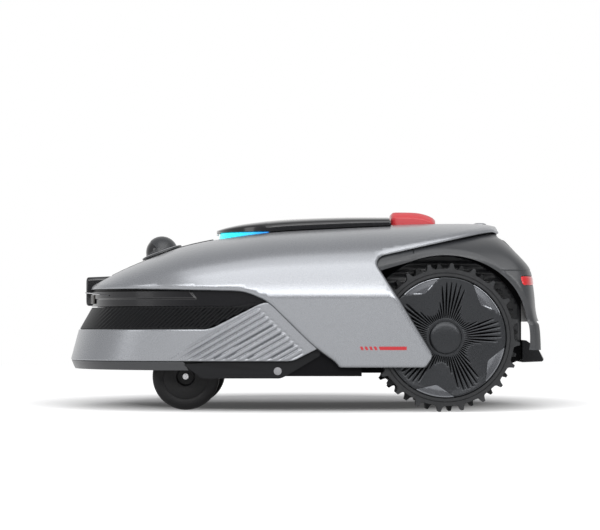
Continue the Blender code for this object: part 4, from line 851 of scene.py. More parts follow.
def rib_height(x, z):
    """Height of the ribbed surface over the plain one."""
    along = (x - RIB_START[0]) * math.cos(RIB_SLOPE) + (z - RIB_START[1]) * math.sin(RIB_SLOPE)
    across = (x - RIB_START[0]) * math.sin(RIB_SLOPE) - (z - RIB_START[1]) * math.cos(RIB_SLOPE)
    number = np.clip(np.round(across / RIB_PITCH), 0, RIBS - 1)
    centre = number * RIB_PITCH
    reach = RIB_PITCH / 2
    past_end = np.maximum(along - (centre * RIB_END_DRIFT - reach), 0.0)
    off = np.hypot(past_end, across - centre) / reach
    ridge = 1.0 - ease(*RIB_CREST, off)
    bed = 1.0 - ease(*RIB_BED, off)
    fade = ease(*RIB_FADE_X, x) * ease(*RIB_FADE_Z, z)
    return (RIB_RAISE * ridge - RIB_SINK * bed) * fade


def emboss(shape, height):
    """Moves every point along its normal by a height read at its x and z."""
    shape.normal_update()
    verts = list(shape.verts)
    spots = np.array([v.co for v in verts])
    for vert, lift in zip(verts, height(spots[:, 0], spots[:, 2])):
        vert.co += vert.normal * lift


print(RIBS, "ribs,", RIB_PITCH, "m apart and up to", RIB_RAISE, "m high")

# %% Front bumper
BUMPER_Z = (0.0655, 0.1445)
BUMPER_ROWS = 110
BUMPER_OUTLINE = ((-FAR, 0.0665), (-0.0215, 0.0665), (0.0180, 0.0860), (-0.0420, 0.1440), (-0.0600, 0.1440),
                  (-0.1300, 0.1086), (-FAR, 0.1086))
BUMPER_WALL = 0.0035
BUMPER_ROUNDING = 0.010
BUMPER_RIM = (0.0016, 0.0009)
BUMPER_BACK_X = 0.110
RIB_FRONT_X = -0.225
RIB_LEAN = 1.0 / math.tan(RIB_SLOPE)
RIB_LEAN_X = (-0.318, -0.130)
RIB_SHARP = math.radians(75.0)
NOSE_CENTRE = (-0.10, 0.0, 0.10)


def keep(outline):
    """A field that is positive inside an outline, for keeping what the outline encloses."""
    field = outline_field(outline)
    return lambda verts: -field(verts)


def front_bumper():
    levels = spread(*BUMPER_Z, BUMPER_ROWS)
    shape = grid(nose_band(levels, 0.0, BUMPER_BACK_X, RIB_FRONT_X, RIB_LEAN, RIB_LEAN_X))
    face_outwards(shape, NOSE_CENTRE)
    edge = keep(rounded(BUMPER_OUTLINE, BUMPER_ROUNDING))
    trim(shape, edge)
    emboss(shape, rib_height)
    roll_in(shape, edge, *BUMPER_RIM)
    piece("ribbed_bumper", shape, "silver_paint", "bumper", ("front_bumper",), wall=BUMPER_WALL,
          sharp=RIB_SHARP)


front_bumper()

# %% [markdown]
# ## Grille and lip
# Above the bumper sits a black band with fine slanted ribs that fade out towards the nose. A bump in
# its finish could fake them, but real ribs also show in the outline and under other light, so they are
# sunk into the mesh. Below the bumper a plain dark lip closes it, with a slanted end in front of the
# side plate.

# %% Grille band
GRILLE_Z = (0.1086, 0.1425)
GRILLE_ROWS = 34
GRILLE_LOW_Z = 0.1092
GRILLE_HIGH_Z = 0.1380
GRILLE_REAR_Z = 0.1420
GRILLE_OUTLINE = ((-FAR, GRILLE_LOW_Z), (-0.1340, GRILLE_LOW_Z), (-0.0680, GRILLE_REAR_Z),
                  (-0.0760, GRILLE_REAR_Z), (-0.0960, GRILLE_HIGH_Z), (-FAR, GRILLE_HIGH_Z))
GRILLE_ROUNDING = 0.008
GRILLE_INSET = 0.0012
GRILLE_BACK_X = -0.030
GRILLE_FINE_X = -0.300
GRILLE_WALL = 0.003
GRILLE_PITCH = 0.0059
GRILLE_SLOPE = math.radians(42.0)
GRILLE_DEPTH = 0.0017
GRILLE_FLANK = (0.25, 0.85)
GRILLE_FADE_X = (-0.292, -0.235)
GRILLE_FADE_LOW_Z = (0.1094, 0.1110)
GRILLE_FADE_HIGH_Z = (0.1360, 0.1378)


def grille_height(x, z):
    """How far the band is sunk between its ribs."""
    across = (x - (z - GRILLE_LOW_Z) / math.tan(GRILLE_SLOPE)) / GRILLE_PITCH
    ridge = np.abs((across % 1.0) - 0.5) * 2.0
    fade = ease(*GRILLE_FADE_X, x) * ease(*GRILLE_FADE_LOW_Z, z) * (1.0 - ease(*GRILLE_FADE_HIGH_Z, z))
    return -GRILLE_DEPTH * ease(*GRILLE_FLANK, ridge) * fade


def grille_band():
    levels = spread(*GRILLE_Z, GRILLE_ROWS)
    lean = 1.0 / math.tan(GRILLE_SLOPE)
    shape = grid(nose_band(levels, GRILLE_INSET, GRILLE_BACK_X, GRILLE_FINE_X, lean))
    face_outwards(shape, NOSE_CENTRE)
    trim(shape, keep(rounded(GRILLE_OUTLINE, GRILLE_ROUNDING)))
    emboss(shape, grille_height)
    piece("ribbed_grille", shape, "black_plastic", "bumper", ("grille_band",), wall=GRILLE_WALL,
          sharp=RIB_SHARP)


grille_band()

# %% Lip under the bumper
LIP_Z = (0.0545, 0.0661)
LIP_ROWS = 9
LIP_INSET = 0.0008
LIP_WALL = 0.003
LIP_ROUNDING = 0.0008
LIP_BACK_X = -0.050
LIP_FINE_X = 0.0
LIP_END_X = -0.1645
LIP_END_SLANT = 0.60


def lip_end(verts):
    return np.array([LIP_END_X + (LIP_Z[1] - v.co.z) * LIP_END_SLANT - v.co.x for v in verts])


def bumper_lip():
    shape = grid(nose_band(spread(*LIP_Z, LIP_ROWS), LIP_INSET, LIP_BACK_X, LIP_FINE_X))
    face_outwards(shape, NOSE_CENTRE)
    trim(shape, lip_end)
    piece("bumper_rim", shape, "dark_grey", "bumper", ("bumper_lip",), wall=LIP_WALL, rounding=LIP_ROUNDING)


bumper_lip()

# %% [markdown]
# ## Fascia, liner and shelf
# The glossy fascia fills the gap under the hood. It carries a flat raised step with a slanted rear end,
# and the columns of its grid lean with that end, so the step's corner stays crisp. Behind it a dark
# liner closes the gap up to the hood, and a flat shelf ties it to the tub. All three follow one
# outline, each a little further in, which is safer than three outlines drawn apart.

# %% Fascia with its step
FASCIA_Z = (0.1392, 0.1588)
FASCIA_NOSE_X = -0.3026
FASCIA_HALF = 0.206
FASCIA_END_X = -0.056
FASCIA_BACK_X = -0.020
FASCIA_WALL = 0.0028
FASCIA_ROUNDING = 0.0004
FASCIA_STEP = 0.0020
FASCIA_FINE_STEP = 0.0007
FASCIA_FINE_REACH = 0.006
FASCIA_ROWS = (12, 5, 10)
STEP_LOW_Z = 0.1485
STEP_RISE = 0.0015
STEP_END_X = -0.155
STEP_HEIGHT = 0.0011
STEP_SLOPE = 0.0022
STEP_LEAN = 0.8
STEP_LEAN_REACH = (0.020, 0.060)


def ahead_of(limit):
    """A field that keeps what lies in front of a place along the machine."""
    return lambda verts: np.array([limit - v.co.x for v in verts])


def fascia_curve(inset=0.0, back_x=FASCIA_BACK_X):
    """One half of the fascia's outline from above, drawn in by an inset."""
    return end_curve(FASCIA_NOSE_X + inset, FASCIA_HALF - inset, SHELL_STRAIGHT_X, NOSE_POWERS, back_x)


def fascia_row(curve, places, z):
    """One level of the fascia. Its columns lean with the slanted rear end of the raised step."""
    along, aside = [p.x for p in curve], [p.y for p in curve]
    up = float(ease(STEP_LOW_Z, STEP_LOW_Z + STEP_RISE, z))
    row = []
    for place in places:
        raised = up * (1.0 - float(ease(STEP_END_X - STEP_SLOPE, STEP_END_X, place.x)))
        near_end = 1.0 - float(ease(*STEP_LEAN_REACH, abs(place.x - STEP_END_X)))
        x = place.x - (z - FASCIA_Z[1]) * STEP_LEAN * near_end
        y = float(np.interp(x, along, aside)) if near_end else place.y
        sunk = Vector((x - SHELL_STRAIGHT_X, y)).normalized() * STEP_HEIGHT * (1.0 - raised)
        row.append(Vector((x - min(sunk.x, 0.0), y - sunk.y, z)))
    return both_sides(row)


def front_fascia():
    curve = fascia_curve()
    places = even_points(curve, lambda x: FASCIA_FINE_STEP if abs(x - STEP_END_X) < FASCIA_FINE_REACH
                         else FASCIA_STEP)
    bounds = (FASCIA_Z[0], STEP_LOW_Z, STEP_LOW_Z + STEP_RISE, FASCIA_Z[1])
    levels = [FASCIA_Z[0]]
    for low, high, count in zip(bounds, bounds[1:], FASCIA_ROWS):
        levels += spread(low, high, count)[1:]
    shape = grid([fascia_row(curve, places, z) for z in levels])
    face_outwards(shape, NOSE_CENTRE)
    trim(shape, ahead_of(FASCIA_END_X))
    trim(shape, camera_opening())
    piece("stepped_fascia", shape, "gloss_black", "chassis", ("front_fascia",), wall=FASCIA_WALL,
          rounding=FASCIA_ROUNDING)


front_fascia()

# %% Liner and shelf
LINER_INSET = 0.0036
LINER_TOP_Z = 0.1700
LINER_GAP = 0.0045
LINER_CAMERA_GAP = 0.0010
LINER_COLUMNS = 160
LINER_ROWS = 8
LINER_WALL = 0.0020
SHELF_TOP_Z = 0.151
SHELF_END_X = -0.118
SHELF_BACK_X = -0.040
SHELF_INSET = 0.002
SHELF_COLUMNS = 80
SHELF_ROWS = 5
SHELF_WALL = 0.003
TUB_NOSE_X = -0.272
TUB_HALF = 0.168
TUB_STRAIGHT_X = -0.125


def hood_liner():
    """A dark strip behind the fascia that closes the gap under the edge of the hood."""
    half = even_count(fascia_curve(LINER_INSET, SHELF_BACK_X), LINER_COLUMNS)
    tops = [min(shell_height(p.x, p.y) - LINER_GAP, LINER_TOP_Z) for p in half]
    rows = []
    for t in spread(0.0, 1.0, LINER_ROWS):
        row = [Vector((p.x, p.y, SHELF_TOP_Z + (top - SHELF_TOP_Z) * t)) for p, top in zip(half, tops)]
        rows.append(both_sides(row))
    shape = grid(rows)
    face_outwards(shape, NOSE_CENTRE)
    trim(shape, ahead_of(FASCIA_END_X))
    trim(shape, camera_opening(LINER_CAMERA_GAP))
    piece("hood_liner", shape, "black_plastic", "chassis", wall=LINER_WALL)


def fascia_shelf():
    """The flat shelf that ties the fascia to the tub behind it."""
    outer = even_count(fascia_curve(SHELF_INSET, SHELF_BACK_X), SHELF_COLUMNS)
    tub = end_curve(TUB_NOSE_X, TUB_HALF, TUB_STRAIGHT_X, NOSE_POWERS, SHELF_BACK_X)
    inner = even_count(tub, SHELF_COLUMNS)
    rows = []
    for t in spread(0.0, 1.0, SHELF_ROWS):
        half = [a.lerp(b, t) for a, b in zip(inner, outer)]
        rows.append(both_sides([Vector((p.x, p.y, SHELF_TOP_Z)) for p in half]))
    shape = grid(rows)
    face_outwards(shape, (0.0, 0.0, 0.0))
    trim(shape, ahead_of(SHELF_END_X))
    trim(shape, camera_opening())
    piece("fascia_shelf", shape, "black_plastic", "chassis", wall=SHELF_WALL)


hood_liner()
fascia_shelf()

# %% [markdown]
# ## The dark rear shell
# The rear shell makes both fenders and the tail in one moulding. It could be built from three pieces,
# but one smooth sheet keeps its shine even from side to side. The sheet is cut by the wheel arch, the
# opening behind the battery and the slots of the tail lights. Its arch edge is rolled in, and two fine
# joint lines are pressed into it.

# %% Rear surface
REAR_INSET = 0.0055
REAR_END = ((0.060, 0.3190), (0.082, 0.3180), (0.1150, 0.3140), (0.1205, 0.3092), (0.134, 0.3058),
            (0.151, 0.3042), (0.170, 0.3022), (0.1865, 0.2997), (0.197, 0.2938), (0.2290, 0.2650),
            (0.2335, 0.2596), (0.2455, 0.2580))
REAR_CORNER = 0.052
REAR_POWERS = (5.0, 5.0)
REAR_STEPS = 500
REAR_COLUMNS = 170
REAR_FRONT_X = 0.080
REAR_SECTION_X = 0.090
FLANGE_REACH = 0.005
FLANGE_INSET = 0.0016
REAR_TOP_Z = 0.2454
REAR_CENTRE = (0.17, 0.0, 0.15)


def rear_half(z, inset=REAR_INSET):
    """Half the width of the rear shell at one height, an inset inside the silver shell."""
    if z <= CREASE_Z:
        return side_half(z) - inset
    t = find(lambda share: shell_upper(REAR_SECTION_X, share, inset)[1] < z)
    return shell_upper(REAR_SECTION_X, t, inset)[0]


def rear_row(z, proud=0.0):
    """One level of the rear shell. Its front end flares into the silver shell, so no light comes through."""
    end = between(REAR_END, z)
    curve = end_curve(end + proud, rear_half(z) + proud, end - REAR_CORNER, REAR_POWERS, REAR_FRONT_X,
                      REAR_STEPS)
    flare = rear_half(z, FLANGE_INSET) - rear_half(z)
    half = []
    for point in even_count(curve, REAR_COLUMNS):
        share = 1.0 - float(ease(REAR_FRONT_X, REAR_FRONT_X + FLANGE_REACH, point.x))
        half.append(Vector((point.x, point.y + flare * share, z)))
    return both_sides(half)


print("the rear shell is", round(2 * rear_half(CREASE_Z), 3), "m wide at the crease")

# %% Pressed lines
SEAM_SIZE = (0.0010, 0.0009)


def press_line(shape, field, width, depth, where):
    """Presses a fine joint line into a sheet along the field's zero line."""
    for level in (-width, 0.0, width):
        score(shape, field, level)
    shape.normal_update()
    verts = [v for v in shape.verts if where(v.co)]
    for vert, height in zip(verts, field(verts)):
        vert.co -= vert.normal * depth * max(0.0, 1.0 - abs(height) / width)


print("joint lines are", 2 * SEAM_SIZE[0], "m wide and", SEAM_SIZE[1], "m deep")

# %% Rear shell
REAR_WALL = 0.0033
REAR_ROUNDING = 0.0005
REAR_WAIST_Z = 0.200
REAR_ROWS = (56, 44)
WHEEL_X = 0.1805
WHEEL_Z = 0.098
ARCH_RADIUS = 0.112
ARCH_RIM = (0.0065, 0.0042)
ARCH_FRONT = ((0.1400, 0.2021), (0.070, 0.1803), (0.070, 0.050), (0.1400, 0.050))
LEG_BOTTOM_Z = 0.0815
LEG_INNER_Y = 0.192
REAR_OPEN_X = 0.239
REAR_OPEN_Z = 0.120
TAIL_LIGHT_X = 0.2785
TAIL_LIGHT_Y = 0.120
TAIL_LIGHT_Z = (0.1670, 0.1790)
LIGHT_SLANT = 0.003
LIGHT_ROUNDING = 0.0040
LIGHT_GAP = 0.0004
SEAM_X = 0.1388
SEAM_LOW_Z = 0.2085
SEAM_Z = 0.1865
SEAM_FRONT_X = 0.255


def arch_field(verts):
    circle = np.array([math.hypot(v.co.x - WHEEL_X, v.co.z - WHEEL_Z) - ARCH_RADIUS for v in verts])
    return np.minimum(circle, outline_field(ARCH_FRONT)(verts))


def mouth_field(verts):
    """The opening behind the battery, between the two legs."""
    return np.array([max(abs(v.co.y) - LEG_INNER_Y, v.co.z - REAR_OPEN_Z) if v.co.x > REAR_OPEN_X else 1.0
                     for v in verts])


def light_outline(margin):
    low, high = TAIL_LIGHT_Z[0] - margin, TAIL_LIGHT_Z[1] + margin
    left = TAIL_LIGHT_X - margin
    return rounded(((left + LIGHT_SLANT, low), (FAR, low), (FAR, high), (left, high)), LIGHT_ROUNDING)


def light_field(margin):
    side = outline_field(light_outline(margin))
    return lambda verts: np.maximum(side(verts), [TAIL_LIGHT_Y - margin - abs(v.co.y) for v in verts])


def rear_shell():
    low, high = REAR_ROWS
    levels = spread(LEG_BOTTOM_Z, REAR_WAIST_Z, low) + spread(REAR_WAIST_Z, REAR_TOP_Z, high)[1:]
    shape = grid([rear_row(z) for z in levels])
    face_outwards(shape, REAR_CENTRE)
    trim(shape, arch_field)
    trim(shape, mouth_field)
    trim(shape, light_field(LIGHT_GAP))
    press_line(shape, lambda verts: np.array([v.co.x - SEAM_X for v in verts]), *SEAM_SIZE,
               lambda spot: spot.z > SEAM_LOW_Z)
    press_line(shape, lambda verts: np.array([v.co.z - SEAM_Z for v in verts]), *SEAM_SIZE,
               lambda spot: spot.x > SEAM_FRONT_X)
    roll_in(shape, arch_field, *ARCH_RIM)
    piece("fender_shell", shape, "dark_grey", "chassis", ("rear_shell",), wall=REAR_WALL,
          rounding=REAR_ROUNDING)


rear_shell()

# %% [markdown]
# ## Tail lights and rear panel
# A red lens sits in a slot on each rear corner, and a glossy panel lies on the slope of the tail. Both
# could be separate blocks bent to fit. Cut from rows of the rear shell itself, lifted by a hair, they
# follow its curve exactly.

# %% Tail lights
SIDES = (("left", -1), ("right", 1))
LENS_ROWS = 20
LENS_OVERLAP = 0.001
LENS_HEIGHT = 0.0006
LENS_RIM = (0.0022, 0.0012)
LENS_WALL = 0.0020


def tail_lights():
    for side_name, side in SIDES:
        levels = spread(TAIL_LIGHT_Z[0] - LENS_OVERLAP, TAIL_LIGHT_Z[1] + LENS_OVERLAP, LENS_ROWS)
        shape = grid([rear_row(z, LENS_HEIGHT) for z in levels])
        face_outwards(shape, REAR_CENTRE)
        edge = light_field(0.0)
        trim(shape, lambda verts: -edge(verts))
        trim(shape, lambda verts: np.array([side * v.co.y for v in verts]))
        roll_in(shape, lambda verts: -edge(verts), *LENS_RIM)
        name = "tail_light_" + side_name
        piece("tail_lens_" + side_name, shape, "tail_red", "chassis", (name,), wall=LENS_WALL)


tail_lights()

# %% Rear panel
PANEL_Z = (0.199, 0.232)
PANEL_ROWS = 24
PANEL_HALF = 0.100
PANEL_HEIGHT = 0.0026
PANEL_ROUNDING = 0.006
PANEL_RIM = (0.0026, 0.0014)
PANEL_WALL = 0.0020


def rear_panel():
    low, high = PANEL_Z
    shape = grid([rear_row(z, PANEL_HEIGHT) for z in spread(low, high, PANEL_ROWS)])
    face_outwards(shape, REAR_CENTRE)
    corners = ((-PANEL_HALF, low), (PANEL_HALF, low), (PANEL_HALF, high), (-PANEL_HALF, high))
    edge = outline_field(rounded(corners, PANEL_ROUNDING), FROM_BEHIND)
    trim(shape, lambda verts: -edge(verts))
    trim(shape, lambda verts: np.array([v.co.x - WHEEL_X for v in verts]))
    roll_in(shape, lambda verts: -edge(verts), *PANEL_RIM)
    piece("rear_gloss_panel", shape, "gloss_black", "chassis", ("rear_panel",), wall=PANEL_WALL)


rear_panel()

# %% [markdown]
# ## Inside the wheel arches
# Behind each wheel a ribbed wall closes the view into the machine, and a second wall closes the front
# of the arch. They could be boxes cut out of the tub. A plain sheet of points, pushed out a little
# along its ribs, is enough, because it only has to catch a little light in the dark arch.

# %% Arch walls
ARCH_WALL_Y = 0.1338
ARCH_WALL_X = (0.082, 0.284)
ARCH_WALL_Z = (0.090, 0.208)
ARCH_WALL_GRID = (50, 60)
ARCH_WALL_RADIUS = 0.110
ARCH_WALL = 0.0006
ARCH_RIBS_Z = (0.172, 0.184, 0.196)
ARCH_RIB_EDGE = (0.0016, 0.0026)
ARCH_RIB_HEIGHT = 0.0012
ARCH_CENTRE = (0.18, 0.0, 0.15)


def round_arch(verts):
    return np.array([ARCH_WALL_RADIUS - math.hypot(v.co.x - WHEEL_X, v.co.z - WHEEL_Z) for v in verts])


def arch_walls():
    columns, levels = ARCH_WALL_GRID
    for side_name, side in SIDES:
        rows = []
        for z in spread(*ARCH_WALL_Z, levels):
            rib = max(1.0 - ease(*ARCH_RIB_EDGE, abs(z - level)) for level in ARCH_RIBS_Z)
            y = side * (ARCH_WALL_Y + ARCH_RIB_HEIGHT * rib)
            rows.append([Vector((x, y, z)) for x in spread(*ARCH_WALL_X, columns)])
        shape = grid(rows)
        face_outwards(shape, ARCH_CENTRE)
        trim(shape, round_arch)
        piece("arch_wall_" + side_name, shape, "dark_grey", "chassis", wall=ARCH_WALL)


arch_walls()

# %% Front walls of the arches
ARCH_FRONT_X = 0.0745
ARCH_FRONT_Z = (0.070, 0.204)
ARCH_FRONT_GRID = (14, 30)
ARCH_FRONT_GAP = 0.0033
ARCH_FRONT_WALL = 0.0012
WAVE_HEIGHT = 0.0010
WAVE_LENGTH = 0.0335


def arch_front_walls():
    """Wavy walls across the front of the wheel arches, from the arch wall out to the silver shell."""
    columns, levels = ARCH_FRONT_GRID
    for side_name, side in SIDES:
        rows = []
        for z in spread(*ARCH_FRONT_Z, levels):
            outer = rear_half(z, ARCH_FRONT_GAP)
            x = ARCH_FRONT_X - WAVE_HEIGHT * math.cos((z - ARCH_FRONT_Z[0]) * 2 * math.pi / WAVE_LENGTH)
            rows.append([Vector((x, side * y, z)) for y in spread(ARCH_WALL_Y, outer, columns)])
        shape = grid(rows)
        face_outwards(shape, (-FAR, 0.0, ARCH_CENTRE[2]))
        piece("arch_front_wall_" + side_name, shape, "black_plastic", "chassis", wall=ARCH_FRONT_WALL)


arch_front_walls()

# %% [markdown]
# ## Tyres of the drive wheels
# The tyre is a ring with two rows of pointed lugs, the inner row half a step round from the outer one.
# Each lug could be a block, repeated by an Array. Here each row is one closed ring of faces whose
# radius rises at the lugs, so the lugs grow out of the rubber with a soft foot.

# %% Closed rings


def sleeve(loops):
    """A closed ring of faces through loops of points, the last joined to the first."""
    shape = bmesh.new()
    made = [[shape.verts.new(point) for point in loop] for loop in loops]
    count = len(made[0])
    for near, far in zip(made, made[1:] + made[:1]):
        for i in range(count):
            j = (i + 1) % count
            shape.faces.new((near[i], near[j], far[j], far[i]))
    bmesh.ops.recalc_face_normals(shape, faces=shape.faces)
    return shape


def wheel_place(x, y, z, side):
    """Lays a turned piece's own Z axis across the machine, outwards on one side."""
    return Matrix.Translation((x, y, z)) @ Matrix.Rotation(-side * math.pi / 2, 4, "X")


print("the drive wheels turn about x", WHEEL_X, "z", WHEEL_Z)

# %% Tyres
LUGS = 20
LUG_PHASE = math.radians(-5.0)
TYRE_RADIUS = 0.098
TYRE_BODY = 0.0903
TYRE_BORE = 0.0803
TYRE_Y = (0.140, 0.1693, 0.1697, 0.199)
TYRE_GROOVE = (0.0842, 0.0848, 0.0854)
LUG_PROFILE = ((9.0, 0.0), (5.2, 0.0), (3.8, 0.03), (3.0, 0.10), (2.3, 0.28), (1.8, 0.52), (1.4, 0.78),
               (1.15, 0.95), (0.8, 1.0))


def lug_loop(phase, y, low, high):
    """A loop round the tyre whose radius rises from low between the lugs to high on their tips."""
    half = [(-angle, rise) for angle, rise in LUG_PROFILE]
    points = []
    for i in range(LUGS):
        for angle, rise in half + [(-a, r) for a, r in reversed(half[1:])]:
            turn = phase + 2 * math.pi * i / LUGS + math.radians(angle)
            radius = low + (high - low) * rise
            points.append(Vector((radius * math.cos(turn), radius * math.sin(turn), y)))
    return points


def tyre_row(phase, low, high, edge=0.0008):
    """One row of lugs with its share of the tyre, and a fine groove round its outer face."""
    start, middle, end = TYRE_GROOVE
    rings = ((TYRE_BORE, high - edge), (TYRE_BORE + edge, high), (start, high), (middle, high - edge),
             (end, high))
    loops = [lug_loop(phase, y, radius, radius) for radius, y in rings]
    loops += [lug_loop(phase, high, TYRE_BODY - edge, TYRE_RADIUS - edge),
              lug_loop(phase, high - edge, TYRE_BODY, TYRE_RADIUS),
              lug_loop(phase, low + edge, TYRE_BODY, TYRE_RADIUS),
              lug_loop(phase, low, TYRE_BODY - edge, TYRE_RADIUS - edge),
              lug_loop(phase, low, TYRE_BORE, TYRE_BORE)]
    return sleeve(loops)


def tyres():
    for side_name, side in SIDES:
        outer = tyre_row(LUG_PHASE, TYRE_Y[2], TYRE_Y[3])
        inner = tyre_row(LUG_PHASE + math.pi / LUGS, TYRE_Y[0], TYRE_Y[1])
        half = bpy.data.meshes.new("tyre_half")
        inner.to_mesh(half)
        inner.free()
        outer.from_mesh(half)
        piece("lugged_tyre_" + side_name, outer, "tyre_rubber", "drive_wheel_" + side_name,
              ("tyre_" + side_name,), place=wheel_place(WHEEL_X, 0.0, WHEEL_Z, side))


tyres()

# %% [markdown]
# ## Star-faced wheel discs
# The disc is a plate with seventy fine slots, long ones in five arms and short ones between them, and
# five bright facets near the rim. Seventy Booleans would be slow and leave poor edges. The plate is
# built in rings and spokes instead: its own columns bend round every slot, and the faces inside the
# slot are left out.

# %% Slots and facets
DISC_FACE = 0.199
SLOTS = 70
SLOTS_PER_ARM = SLOTS // 5
ARM_ANGLE = math.radians(8.9)
FACET_ANGLE = math.radians(-28.8)
FACET_STEP = 2 * math.pi / 5
SLOT_START = 0.0238
SLOT_ENDS = (0.0745, 0.0738, 0.0690, 0.0480, 0.0385, 0.0350, 0.0340)
SLOT_HALF_ANGLE = math.radians(1.45)
SLOT_OPENING = 9.0
SLOT_CLOSING = 2.0
SLOT_POINT = 0.7
DISC_PROFILE = ((0.0190, -0.0062), (0.0230, -0.0062), (0.0700, -0.0034), (0.0786, -0.0024),
                (0.0799, -0.0032))
FACET_VERTEX = 0.0628
FACET_SPREAD = 0.4216
FACET_SLOPE = 0.075
FACET_FLANK = -0.0006
FACET_STEEPNESS = 1.4
FACET_INSIDE = -0.0005


def slot_end(number):
    """Where a slot ends: long ones near the middle of an arm, short ones between the arms."""
    step = number % SLOTS_PER_ARM
    return SLOT_ENDS[min(step, SLOTS_PER_ARM - 1 - step)]


def slot_width(radius, end):
    """Half the width of a slot, as an angle: a spindle between its start and its end."""
    share = (radius - SLOT_START) / (end - SLOT_START)
    if not 0.0 < share < 1.0:
        return 0.0
    closing = min(1.0, (1.0 - share) * SLOT_CLOSING) ** SLOT_POINT
    return SLOT_HALF_ANGLE * min(1.0, share * SLOT_OPENING) * closing


def disc_height(radius):
    return DISC_FACE + straight_line(DISC_PROFILE, radius)


def in_facet(spot):
    """A point seen from the nearest of the five facets: along the facet's middle line, and across it."""
    turn = math.atan2(spot.y, spot.x) - FACET_ANGLE
    turn -= round(turn / FACET_STEP) * FACET_STEP
    radius = spot.xy.length
    return radius * math.cos(turn) - FACET_VERTEX, radius * math.sin(turn)


def facet_distance(spot):
    """Distance to the nearest facet's edge, negative inside the facet."""
    along, aside = in_facet(spot)
    return (FACET_SPREAD * abs(aside) - along) / math.hypot(1.0, FACET_SPREAD)


def facet_field(verts):
    return np.array([facet_distance(v.co) for v in verts])


def sink_facets(shape):
    """Sinks the facets behind a short steep flank and gives them the second finish."""
    score(shape, facet_field)
    score(shape, facet_field, FACET_FLANK)
    for vert in shape.verts:
        distance = facet_distance(vert.co)
        if distance < 0.0:
            vert.co.z -= min(FACET_SLOPE * in_facet(vert.co)[0], -FACET_STEEPNESS * distance)
    for face in shape.faces:
        inside = max(facet_distance(v.co) for v in face.verts) < FACET_INSIDE
        face.material_index = 1 if inside else 0


print(SLOTS, "slots in five arms, the longest to radius", SLOT_ENDS[0])

# %% Slotted disc
RING_STEP = 0.0012
RING_COUNT = 50
RIM_RINGS = (0.0788, DISC_PROFILE[-1][0])
CLOSED_SLOT = math.radians(0.06)
SAME_SPOKE = 0.0002


def slotted_plate():
    radii = [DISC_PROFILE[0][0] + RING_STEP * i for i in range(RING_COUNT)]
    radii = sorted(r for r in radii + list(RIM_RINGS) if r <= RIM_RINGS[-1])
    step = 2 * math.pi / SLOTS
    shape = bmesh.new()
    rows = []
    for radius in radii:
        row = []
        for number in range(SLOTS):
            middle = ARM_ANGLE + (number + 0.5) * step
            width = max(slot_width(radius, slot_end(number)), CLOSED_SLOT)
            for turn in (middle - step / 2, middle - width, middle + width):
                spot = Vector((radius * math.cos(turn), radius * math.sin(turn), disc_height(radius)))
                row.append(shape.verts.new(spot))
        rows.append(row)
    count = 3 * SLOTS
    for low, high, near, far in zip(radii, radii[1:], rows, rows[1:]):
        for i in range(count):
            end = slot_end(i // 3)
            if i % 3 == 1 and low > SLOT_START and high < end:
                continue
            j = (i + 1) % count
            shape.faces.new((near[i], near[j], far[j], far[i]))
    bmesh.ops.delete(shape, geom=[v for v in shape.verts if not v.link_faces], context="VERTS")
    bmesh.ops.remove_doubles(shape, verts=shape.verts, dist=SAME_SPOKE)
    sink_facets(shape)
    face_outwards(shape, (0.0, 0.0, 0.0))
    return shape


print("rings every", RING_STEP, "m on the disc")

# %% Wheel discs, cores and caps
DISC_WALL = 0.0024
CORE_ROUNDING = 0.0006
CAP_ROUNDING = 0.0003
CORE_PROFILE = ((0.0, -0.0135), (0.0762, -0.0135), (0.0772, -0.0090), (0.0799, -0.0090), (0.0799, -0.0540),
                (0.0740, -0.0540), (0.0740, -0.0160), (0.0240, -0.0210), (0.0200, -0.0540),
                (0.0070, -0.0590), (0.0070, -0.0950), (0.0, -0.0950))
CAP_PROFILE = ((0.0, -0.0018), (0.0080, -0.0018), (0.0150, -0.0021), (0.0190, -0.0027), (0.0206, -0.0034),
               (0.0215, -0.0048), (0.0215, -0.0075), (0.0, -0.0075))


def wheel_discs():
    for side_name, side in SIDES:
        place = wheel_place(WHEEL_X, 0.0, WHEEL_Z, side)
        body = "drive_wheel_" + side_name
        disc = piece("star_disc_" + side_name, slotted_plate(), "dark_grey", body, wall=DISC_WALL,
                     place=place, look="wheel_grey")
        disc.data.materials.append(FINISHES["facet_grey"])
        core = lathe([(r, DISC_FACE + h) for r, h in CORE_PROFILE])
        # The core behind the slots gets the shaded copy of black plastic, which paints shade inside the
        # wheel.
        piece("wheel_core_" + side_name, core, "black_plastic", body, ("wheel_disc_" + side_name,),
              rounding=CORE_ROUNDING, place=place, look="painted_shade_black")
        cap = lathe([(r, DISC_FACE + h) for r, h in CAP_PROFILE])
        piece("round_cap_" + side_name, cap, "dark_grey", body, ("hub_cap_" + side_name,),
              rounding=CAP_ROUNDING, place=place, look="wheel_grey")


wheel_discs()

# %% [markdown]
# ## Casters
# Each front caster is a solid rubber wheel with a small round recess, in which the bright end of its
# axle shows. A cylinder could be bevelled and inset, but a lathe is the natural tool: one profile,
# turned once.

# %% Caster wheels
CASTER_AT = (-0.165, 0.118, 0.045)
CASTER_PROFILE = ((0.0043, 0.0090), (0.0108, 0.0090), (0.0118, 0.0100), (0.0122, 0.0138), (0.0128, 0.0146),
                  (0.0150, 0.0150), (0.0290, 0.0150), (0.0300, 0.0144), (0.0310, 0.0150), (0.0368, 0.0148),
                  (0.0405, 0.0138), (0.0432, 0.0118), (0.0446, 0.0088), (0.0450, 0.0050))
CASTER_FACE = 3
CASTER_HUB = ((0.0115, -0.0118), (0.0043, -0.0110))


